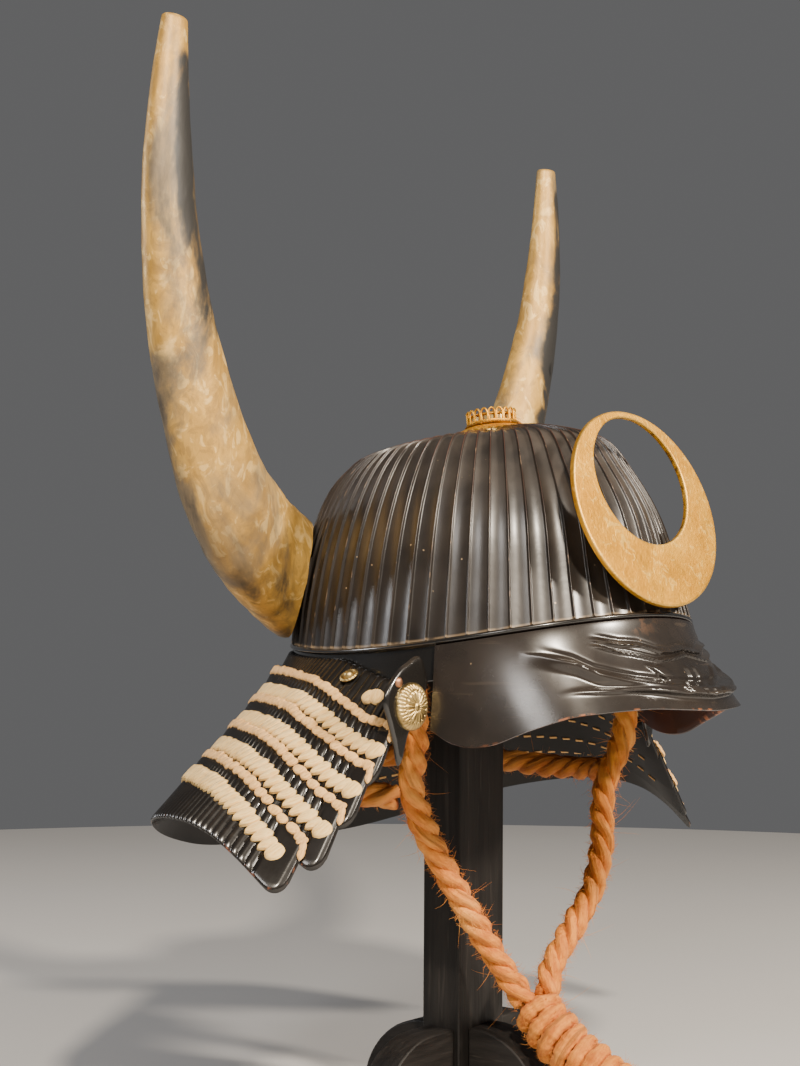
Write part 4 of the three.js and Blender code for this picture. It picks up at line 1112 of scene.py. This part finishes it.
def braid(name, lobes, tone, material):
    """One object from many lobes."""
    points, faces = [], []
    rows, columns = lobes[0].shape[:2]
    along = np.broadcast_to(np.linspace(-1, 1, rows)[:, None], (rows, columns)).ravel()
    across = np.broadcast_to(np.linspace(-1, 1, columns)[None], (rows, columns)).ravel()
    for n, lobe in enumerate(lobes):
        block = lobe.reshape(-1, 3)
        local = outward(block, sweep_faces(rows, columns, False))
        faces.extend([[corner + n * rows * columns for corner in face] for face in local])
        points.append(block)
    shifts = np.repeat(np.arange(len(lobes)) * 3.3, rows * columns)
    values = {"along": np.tile(along, len(lobes)) + shifts, "across": np.tile(across, len(lobes)),
              "tone": np.full(len(shifts), tone)}
    thing = new_object(name, np.concatenate(points) + HELMET, faces, material, values, sharp=80)
    return stands_for(thing, "silk_lacing", *([f"lacing_{name[-1]}"] if name.startswith("thick") else []))


def row_share(index, degrees, shift):
    """Share of the guard's run that lies a shift below a lame's top edge."""
    return float(lame_start(index, np.array([degrees * DEGREE]))[0]) + shift


def turn_points(spot, turn, grow=1.0):
    lean, half_length, half_width, height, point = turn
    return lobe_points(spot, lean * DEGREE, half_length * grow, half_width * grow, height, point)


def make_thick_row(index, material):
    """The broad braid below a lame's scale heads: slanted leaf-shaped turns, one to a scale."""
    end, scales = LAMES[index][2:]
    pitch = (360 - 2 * end) / scales
    lobes = []
    for side in (-1, 1):
        degrees = end + STRIP_ANGLES[index] - THICK_ROW_INSET
        first = True
        while degrees < 180:
            grow = random.uniform(0.92, 1.08)
            share = row_share(index, degrees, THICK_ROW_MIDDLE + random.normal(0, 0.0016))
            spot = guard_spot(index, degrees, share, side)
            lobes.append(turn_points(spot, END_TURN) if first else turn_points(spot, THICK_TURN, grow))
            first = False
            degrees += pitch
    braid(f"thick_lacing_{index + 1}", lobes, 0.0, material)


def make_thin_row(index, material):
    """The narrow row along a lame's top edge: short uneven wraps."""
    end = LAMES[index][2]
    lobes = []
    for side in (-1, 1):
        degrees = end + 1.4
        while degrees < 180:
            wide = random.uniform(0.0026, 0.0044)
            share = row_share(index, degrees, -0.010 + random.normal(0, 0.0030))
            spot = guard_spot(index, degrees, share, side)
            tall = random.uniform(0.0027, 0.0034)
            lean = (76 + random.normal(0, 9)) * DEGREE
            lobes.append(lobe_points(spot, lean, tall, wide, 0.0014, 0.30))
            degrees += wide * 2.1 / GUARD_HALF_WIDTH / DEGREE
        lobes.extend(end_strap(index, side))
    braid(f"thin_lacing_{index + 1}", lobes, 1.0, material)


def end_strap(index, side):
    """Turns of lacing that run round a lame's end and hang behind it."""
    end = LAMES[index][2]
    turns = []
    for ahead, shift, lean in ((0.7, -0.004, 60), (0.1, 0.012, 100), (-0.15, 0.036, 95)):
        spot = guard_spot(index, end + ahead, row_share(index, end, shift), side)
        turns.append(lobe_points(spot, lean * DEGREE, 0.0034, 0.0017, 0.0016, 0.3))
    return turns


def dash(angle, share, offset, half_length, half_height):
    """Corners of one small stitch that lies on the guard."""
    spots = []
    for out in (offset, offset - 0.0006):
        for turn, down in ((-1, -1), (1, -1), (1, 1), (-1, 1)):
            place = (angle + turn * half_length, share + down * half_height, out)
            spots.append(guard_point(*(np.array([number]) for number in place))[0])
    return spots


def make_inner_stitches(material):
    """Pale stitches that show on the inside of the lames."""
    points, faces = [], []
    box = [[0, 1, 2, 3], [7, 6, 5, 4], [0, 4, 5, 1], [1, 5, 6, 2], [2, 6, 7, 3], [3, 7, 4, 0]]
    for index in range(len(LAMES)):
        end = LAMES[index][2] + 7
        for degrees in np.arange(end, 360 - end, 3.1):
            angle = degrees * DEGREE
            spot = np.array([angle])
            low, high = float(lame_start(index, spot)[0]), float(lame_end(index, spot)[0])
            along = 0.55 if index < len(LAMES) - 1 else 0.30
            share = mix(low, high, along)
            offset = lame_offset(index, along) - LAME_WALL / 2 - 0.0001
            first = len(points)
            points.extend(dash(angle, share, offset, 0.85 * DEGREE, 0.005))
            faces.extend([[first + corner for corner in face] for face in box])
    total = len(points)
    values = {"along": np.linspace(0, 60, total), "across": np.tile(np.linspace(0, 1, 8), total // 8),
              "tone": np.ones(total)}
    stitches = new_object("inner_stitches", np.array(points) + HELMET, faces, material, values)
    stands_for(stitches, "silk_lacing")


def make_knots(material):
    """Cream knots at the front of the top lame and beside each wing."""
    spots = [
        (83.4, 0.105, 100, 0.0050, 0.0042), (84.9, 0.120, 70, 0.0048, 0.0040),
        (78.2, 0.03, 80, 0.0022, 0.0018),
    ]
    for side, word in ((-1, "right"), (1, "left")):
        lobes = [lobe_points(guard_spot(0, degrees, share, side), lean * DEGREE, length, width, 0.0034, 0.1)
                 for degrees, share, lean, length, width in spots]
        braid(f"lame_knot_{word}", lobes, 0.25, material)


# Wings with rosettes, studs and rivets
def wing_place(side):
    return np.array([side * WING_INSET, -WING_FRONT + WING_WALL, WING_TOP])


def make_wing(side, word, material):
    closed = WING_OUTLINE + WING_OUTLINE[:2]
    outline = curve_through(np.array(closed), np.linspace(0.5, len(WING_OUTLINE) + 0.5, 97)[:-1])
    across = side * outline[:, 0] * WING_WIDTH
    down = -outline[:, 1] * WING_HEIGHT
    middle = np.array([across.mean(), down.mean()])
    sections = []
    profile = [
        (0.0, 0.0), (0.9, 0.0), (1.0, 0.0007), (1.0, 0.0017), (0.95, 0.0026), (0.84, 0.0027),
        (0.0, 0.0024),
    ]
    for shrink, depth in profile:
        x = middle[0] + (across - middle[0]) * max(shrink, 0.02)
        z = middle[1] + (down - middle[1]) * max(shrink, 0.02)
        sections.append(np.stack([x, -depth + 0 * x, z], axis=-1))
    sections = np.array(sections) + wing_place(side)
    wing = sweep(f"wing_{word}_plate", sections, material, sharp=60)
    stands_for(wing, "black_lacquer", f"wing_{word}")


def polar_cap(radius, height_at, rings, around):
    """A round raised plate facing +Z: rings from the middle out, then its flat back."""
    r = np.concatenate([np.linspace(0.02, 1, rings), [1.0, 0.02]])
    u = np.arange(around) * 2 * math.pi / around
    rr, uu = np.meshgrid(r, u, indexing="ij")
    z = height_at(rr, uu)
    z[-2:] = 0
    return np.stack([rr * radius * np.cos(uu), rr * radius * np.sin(uu), z], axis=-1)


def turned(grid, x_axis, z_axis, centre):
    y_axis = np.cross(z_axis, x_axis)
    return centre + grid[..., :1] * x_axis + grid[..., 1:2] * y_axis + grid[..., 2:] * z_axis


def rosette_height(r, u):
    outer = smooth((r - 0.66) / 0.05)
    petals = np.abs(np.cos(8 * u)) ** 0.6
    flutes = np.abs(np.cos(16 * u)) ** 0.7
    dome = 0.0042 * np.sqrt(np.clip(1.02 - r**2.6, 0.02, 1))
    inner = 0.0006 * petals * smooth((r - 0.16) / 0.08) * (1 - outer)
    groove = -0.0005 * bump(r, 0.66, 0.03)
    boss = 0.0008 * (1 - smooth((r - 0.10) / 0.06))
    return dome + inner + groove + boss + 0.0006 * flutes * outer


def make_rosette(side, word, material):
    centre = np.array([side * (WING_INSET + ROSETTE_INSET), -WING_FRONT - 0.0003, WING_TOP - ROSETTE_DROP])
    cap = polar_cap(ROSETTE_RADIUS, rosette_height, 26, 192)
    grid = turned(cap, np.array([1.0, 0, 0]), np.array([0, -1.0, 0]), centre)
    rosette = sweep(f"rosette_{word}_flower", grid, material, sharp=60)
    stands_for(rosette, "old_brass", f"rosette_{word}")


def make_stud(side, word, material):
    across = side * (WING_INSET + WING_WIDTH * 0.72)
    centre = np.array([across, -WING_FRONT - 0.0003, WING_TOP - WING_HEIGHT * 0.24])
    cap = polar_cap(0.0028, lambda r, u: 0.0018 * np.sqrt(np.clip(1.001 - r**2, 0, 1)), 10, 32)
    grid = turned(cap, np.array([1.0, 0, 0]), np.array([0, -1.0, 0]), centre)
    stands_for(sweep(f"wing_stud_{word}_head", grid, material), "copper", f"wing_stud_{word}")


def rivet_height(r, u):
    dome = 0.0030 * np.sqrt(np.clip(1 - (r / 0.58) ** 2, 0, 1))
    ring = 0.0012 * bump(r, 0.78, 0.14)
    notches = 0.0004 * np.abs(np.cos(10 * u)) * smooth((r - 0.84) / 0.05)
    return np.maximum(dome, ring) + notches + 0.0002


def make_rivet(side, word, material):
    angle = np.array([RIVET_ANGLE if side < 0 else 2 * math.pi - RIVET_ANGLE])
    neck, run, normal = (part[0] for part in guard_frame(angle))
    centre = neck + run * 0.075 + normal * (LAME_WALL / 2 + 0.0003)
    grid = turned(polar_cap(RIVET_RADIUS * 1.25, rivet_height, 18, 80), unit(run), normal, centre)
    stands_for(sweep(f"rivet_{word}_head", grid, material, sharp=60), "old_brass", f"rivet_{word}")


# Crest
def make_crest(material):
    turn = np.arange(240) * 2 * math.pi / 240
    outer = np.stack([CREST_HALF_WIDTH * np.cos(turn), CREST_HALF_HEIGHT * np.sin(turn)], axis=-1)
    inner = np.stack([CREST_HOLE_HALF_WIDTH * np.cos(turn),
                      CREST_HOLE_RISE + CREST_HOLE_HALF_HEIGHT * np.sin(turn)], axis=-1)
    bevel = 0.0011
    profile = [
        (0.0, 0.0, bevel * 1.2), (0.0, 0.0, bevel), (0.0, bevel * 0.3, bevel * 0.3), (0.0, bevel, 0.0),
        (0.0, bevel * 1.4, 0.0), (0.5, 0.0, 0.0), (1.0, -bevel * 1.2, 0.0), (1.0, -bevel * 0.8, 0.0),
        (1.0, -bevel * 0.24, bevel * 0.24), (1.0, 0.0, bevel * 0.8), (1.0, 0.0, bevel), (1.0, 0.0, 0.0021),
        (1.0, 0.0, CREST_THICKNESS - 0.0006), (1.0, -0.0006, CREST_THICKNESS), (0.0, 0.0006, CREST_THICKNESS),
        (0.0, 0.0, CREST_THICKNESS - 0.0006),
    ]
    direction = unit(inner - outer)
    rows = []
    for across, shift, depth in profile:
        flat = mix(outer, inner, across) + direction * shift
        rows.append(np.concatenate([flat, np.full((len(turn), 1), -depth)], axis=1))
    local = np.stack(rows, axis=1)
    lean = math.pi / 2 - CREST_LEAN
    y = local[..., 1] * math.cos(lean) - local[..., 2] * math.sin(lean)
    z = local[..., 1] * math.sin(lean) + local[..., 2] * math.cos(lean)
    x = local[..., 0]
    turned_x = x * math.cos(CREST_TURN) + y * math.sin(CREST_TURN)
    turned_y = -x * math.sin(CREST_TURN) + y * math.cos(CREST_TURN)
    sections = np.stack([turned_x, turned_y, z], axis=-1) + CREST_PLACE
    # "edge" marks the bevel rows, which the gold leaf paints brighter as a highlight.
    edge = np.array([1.0 if 0 < depth < 0.001 else 0.0 for _, _, depth in profile])
    wall = np.array([1.0 if across == 1.0 and depth > 0.001 else 0.0 for across, _, depth in profile])
    values = {"edge": np.broadcast_to(edge[None], sections.shape[:2]),
              "wall": np.broadcast_to(wall[None], sections.shape[:2])}
    crest = sweep("crest_ring", sections, material, ring=True, values=values, sharp=40)
    stands_for(crest, "gold", "crest")


# Horns
def bowl_reach(point):
    """How far a point lies outside the bowl, measured level from the crown's axis."""
    flat = np.array([point[0], point[1] + CROWN_FORWARD])
    angles = np.linspace(0, 2 * math.pi, 361)
    directions = unit(rim_direction(angles))
    angle = angles[np.argmax(directions @ unit(flat))]
    rows = bowl_rows(np.array([angle]))[:8, 0]
    reach = np.hypot(rows[:, 0], rows[:, 1] + CROWN_FORWARD)
    if point[2] < rows[0, 2]:
        return np.linalg.norm(flat) - reach[0]
    return np.linalg.norm(flat) - np.interp(point[2], rows[:, 2], reach)


def make_horn(side, word, material):
    line = np.array(HORN_LINE)
    sides = 44
    places = np.linspace(0, len(line) - 1, 260)
    shares = curve_through(line, places)
    x = side * (HORN_ROOT[0] + shares[:, 0] * HORN_SPREAD)
    y = HORN_ROOT[1] - shares[:, 2] * HORN_ADVANCE
    spine = np.stack([x, y, HORN_ROOT[2] + shares[:, 1] * HORN_RISE], axis=-1)
    ahead = unit(np.gradient(spine, axis=0))
    across = unit(np.cross([0.0, 1.0, 0.0], ahead))
    depth = np.cross(ahead, across)
    turn = np.arange(sides) * 2 * math.pi / sides
    width = shares[:, 3] * HORN_ROOT_WIDTH / 2
    dents = 1 + 0.006 * np.sin(places[:, None] * 5.1 + 2 * turn)
    dents = dents + 0.005 * np.sin(places[:, None] * 11.3 - 3 * turn)
    grid = (spine[:, None] + across[:, None] * (width[:, None] * np.cos(turn) * dents)[..., None]
            + depth[:, None] * (width[:, None] * HORN_FLATNESS * np.sin(turn) * dents)[..., None])
    rows = 150
    sections = np.zeros((rows, sides, 3))
    along = np.zeros((rows, sides))
    for j in range(sides):
        outside = [i for i in range(100) if bowl_reach(grid[i, j]) > HORN_SEAT]
        start = min(outside) if outside else 0
        at = mix(start, len(places) - 1.0, np.linspace(0, 1, rows))
        for axis in range(3):
            sections[:, j, axis] = np.interp(at, np.arange(len(places)), grid[:, j, axis])
        along[:, j] = at / (len(places) - 1)
    tip = sections[-1].mean(axis=0)
    for shrink, rise in ((0.97, 0.0012), (0.88, 0.0019)):
        cap = tip + (sections[rows - 1] - tip) * shrink + ahead[-1] * rise
        sections = np.concatenate([sections, cap[None]])
        along = np.concatenate([along, np.ones((1, sides))])
    outwards = unit(sections - sections.mean(axis=1, keepdims=True))
    # "ahead" holds how far each point faces the direction whose side is painted in shade.
    values = {"along": along, "ahead": outwards @ np.array(HORN_SHADED_SIDE)}
    horn = sweep(f"horn_{word}_body", sections, material, values=values, sharp=60)
    stands_for(horn, "worn_gilt_wood", f"horn_{word}")


# Crown fittings
def crown_turned(points):
    """Moves points from the crown's own upright frame to the leaning crown."""
    y = points[..., 1] * math.cos(CROWN_TILT) + points[..., 2] * math.sin(CROWN_TILT)
    z = -points[..., 1] * math.sin(CROWN_TILT) + points[..., 2] * math.cos(CROWN_TILT)
    return np.stack([points[..., 0], y - CROWN_FORWARD, z + CROWN_HEIGHT], axis=-1)


def ring_sections(outline, count, ripple=0.0, lobes=16):
    """A ring from an outline of radius and height, with its outer points scalloped."""
    turn = np.arange(count) * 2 * math.pi / count
    rows = []
    for radius, height, share in outline:
        waved = radius + share * ripple * (np.abs(np.cos(lobes * turn / 2)) ** 0.6 - 1)
        rows.append(np.stack([waved * np.cos(turn), waved * np.sin(turn), height + 0 * turn], axis=-1))
    return np.stack(rows, axis=1)


def make_crown(gold, brass, cream):
    plate = ring_sections([
        (0.0105, 0.0017, 0), (0.0166, 0.0016, 0), (0.0190, 0.0006, 0), (0.0222, -0.0009, 0.4),
        (0.0246, -0.0019, 1.0), (0.0252, -0.0026, 1.0), (0.0240, -0.0026, 1.0), (0.0105, 0.0003, 0),
    ], 256, ripple=0.0016, lobes=32)
    stands_for(sweep("crown_plate_petals", crown_turned(plate), gold, ring=True), "gold", "crown_plate")
    washer = ring_sections([
        (0.0103, 0.0022, 0), (0.0152, 0.0024, 0.3), (0.0162, 0.0029, 1.0), (0.0155, 0.0036, 1.0),
        (0.0103, 0.0036, 0),
    ], 256, ripple=0.0010, lobes=48)
    beads = sweep("crown_washer_beads", crown_turned(washer), brass, ring=True)
    stands_for(beads, "old_brass", "crown_washer")
    paths = []
    base = CROWN_RING_BASE
    top = base + CROWN_RING_HEIGHT
    half = math.pi / CROWN_ARCH_COUNT * 0.86
    across, rise = np.array([
        (-1, 0.0), (-1, 0.35), (-1, 0.62), (-0.86, 0.80), (-0.5, 0.94), (0, 1.0), (0.5, 0.94),
        (0.86, 0.80), (1, 0.62), (1, 0.35), (1, 0.0),
    ]).T
    for n in range(CROWN_ARCH_COUNT):
        turn = n * 2 * math.pi / CROWN_ARCH_COUNT + half * across
        x, y = CROWN_RING_RADIUS * np.cos(turn), CROWN_RING_RADIUS * np.sin(turn)
        paths.append(crown_turned(np.stack([x, y, mix(base, top, rise)], axis=-1)))
    circle = np.linspace(0, 2 * math.pi, 97)
    for radius, height in ((CROWN_RING_RADIUS, base + 0.0006), (CROWN_RING_RADIUS - 0.0016, top - 0.0030)):
        loop = np.stack([radius * np.cos(circle), radius * np.sin(circle), height + 0 * circle], axis=-1)
        paths.append(crown_turned(loop))
    radii = [0.00062] * CROWN_ARCH_COUNT + [0.0009, 0.0006]
    stands_for(tubes("crown_ring_arches", paths, radii, 8, gold), "gold", "crown_ring")
    tube = ring_sections([
        (0.0122, base, 0), (0.0122, top - 0.0020, 0), (0.0112, top - 0.0020, 0), (0.0112, base, 0),
    ], 96)
    stands_for(sweep("crown_inner_tube", crown_turned(tube), brass, ring=True), "gold")
    loop, distance = along_route(np.array(CROWN_LOOP_ROUTE), 0.0006)
    values = {"along": np.repeat(distance * 200, 10), "across": np.tile(np.arange(10) / 5 - 1, len(loop)),
              "tone": np.full(len(loop) * 10, 0.3)}
    strap = tubes("crown_loop_cord", [loop], [0.0019], 10, cream, values)
    stands_for(strap, "silk_lacing", "crown_loop")


# Stand
def wood_block(name, low, high, material):
    corners = [(x, y, z) for x in (low[0], high[0]) for y in (low[1], high[1]) for z in (low[2], high[2])]
    faces = [[0, 1, 3, 2], [4, 6, 7, 5], [0, 4, 5, 1], [2, 3, 7, 6], [0, 2, 6, 4], [1, 5, 7, 3]]
    block = new_object(name, corners, faces, material, sharp=30)
    place_bevel(block, 0.0012, 3)
    return block


def make_foot(node, direction, material):
    """A quarter-round foot glued to one face of the post."""
    low, high = (np.array(corner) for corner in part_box(node))
    axis = 0 if direction[0] else 1
    other = 1 - axis
    sign = direction[axis]
    height = high[2] - low[2]
    start = low[axis] if sign > 0 else high[axis]
    reach = high[axis] - low[axis]
    turn = np.linspace(0, 90, 17) * DEGREE
    outline = [(0, 0)]
    outline += [(reach - height + height * math.cos(t), height * math.sin(t)) for t in turn]
    outline += [(0, height)]
    points = []
    for side in (low[other], high[other]):
        for out, up in outline:
            spot = [0.0, 0.0, low[2] + up]
            spot[axis] = start + sign * out
            spot[other] = side
            points.append(spot)
    points = np.array(points).reshape(2, len(outline), 3)
    foot = sweep(f"{node}_wood", points, material, origin=np.zeros(3), sharp=30)
    place_bevel(foot, 0.0010, 2)
    stands_for(foot, "stained_wood", node)


def make_stand():
    upright = stained_wood("upright grain", (1, 1, 0.06))
    low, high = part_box("stand_post")
    stands_for(wood_block("stand_post_wood", low, high, upright), "stained_wood", "stand_post")
    sideways = stained_wood("side grain", (0.10, 1, 1))
    lengthways = stained_wood("long grain", (1, 0.10, 1))
    for node, direction in (("foot_left", (1, 0)), ("foot_right", (-1, 0))):
        make_foot(node, direction, sideways)
    for node, direction in (("foot_back", (0, 1)), ("foot_front", (0, -1))):
        make_foot(node, direction, lengthways)
    paint_node("stand_head_pad", upright)


def paint_node(node, material):
    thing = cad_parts[node]
    thing.data.materials.clear()
    thing.data.materials.append(material)


# Floor and light
def make_floor():
    turn = np.arange(96) * 2 * math.pi / 96
    points = np.stack([1.6 * np.cos(turn), 1.6 * np.sin(turn), -0.0002 + 0 * turn], axis=-1)
    paint = Paint("floor", Roughness=0.6)
    paint.colour(paint.blend(paint.noise(3), (0.60, 0.59, 0.58), (0.64, 0.63, 0.62)))
    new_object("floor", points, [list(range(96))], paint.material)


def make_light(name, place, size, power, colour):
    data = bpy.data.lights.new(name, "AREA")
    data.shape = "DISK"
    data.size = size
    data.energy = power
    data.color = colour
    light = bpy.data.objects.new(name, data)
    light.location = place
    light.rotation_mode = "QUATERNION"
    light.rotation_quaternion = (Vector(LIGHT_AIM) - Vector(place)).to_track_quat("-Z", "Y")
    bpy.context.scene.collection.objects.link(light)


def make_lights():
    world = bpy.data.worlds.new("studio")
    world.use_nodes = True
    background = world.node_tree.nodes["Background"]
    background.inputs[0].default_value = STUDIO_GREY
    background.inputs[1].default_value = STUDIO_STRENGTH
    bpy.context.scene.world = world
    for light in LIGHTS:
        make_light(*light)


def make_pieces():
    lacquer = plain_lacquer()
    scales = scale_lacquer()
    gold = gold_leaf()
    brass = metal("old brass", (0.70, 0.52, 0.22), (0.42, 0.29, 0.11), 0.30, 0.48)
    copper = metal("dull copper", (0.50, 0.25, 0.14), (0.28, 0.13, 0.08), 0.35, 0.55)
    iron = metal("dark iron", (0.10, 0.085, 0.075), (0.035, 0.030, 0.028), 0.45, 0.65)
    cream = silk()
    gilt = horn_gilt()
    make_bowl()
    make_rim_band(lacquer)
    make_visor()
    for index in range(len(LAMES)):
        make_lame(index, scales)
    for index in range(1, len(LAMES)):
        make_thick_row(index, cream)
        make_thin_row(index, cream)
    make_inner_stitches(cream)
    make_knots(cream)
    for side, word in ((-1, "right"), (1, "left")):
        make_wing(side, word, lacquer)
        make_rosette(side, word, brass)
        make_stud(side, word, copper)
        make_rivet(side, word, brass)
        make_horn(side, word, gilt)
        paint_node(f"cord_anchor_{word}", iron)
    make_crest(gold)
    paint_node("crest_mount", copper)
    paint_node("horn_strap", iron)
    make_crown(gold, brass, cream)
    make_stand()


make_camera()
make_cords()
make_pieces()
make_floor()
make_lights()
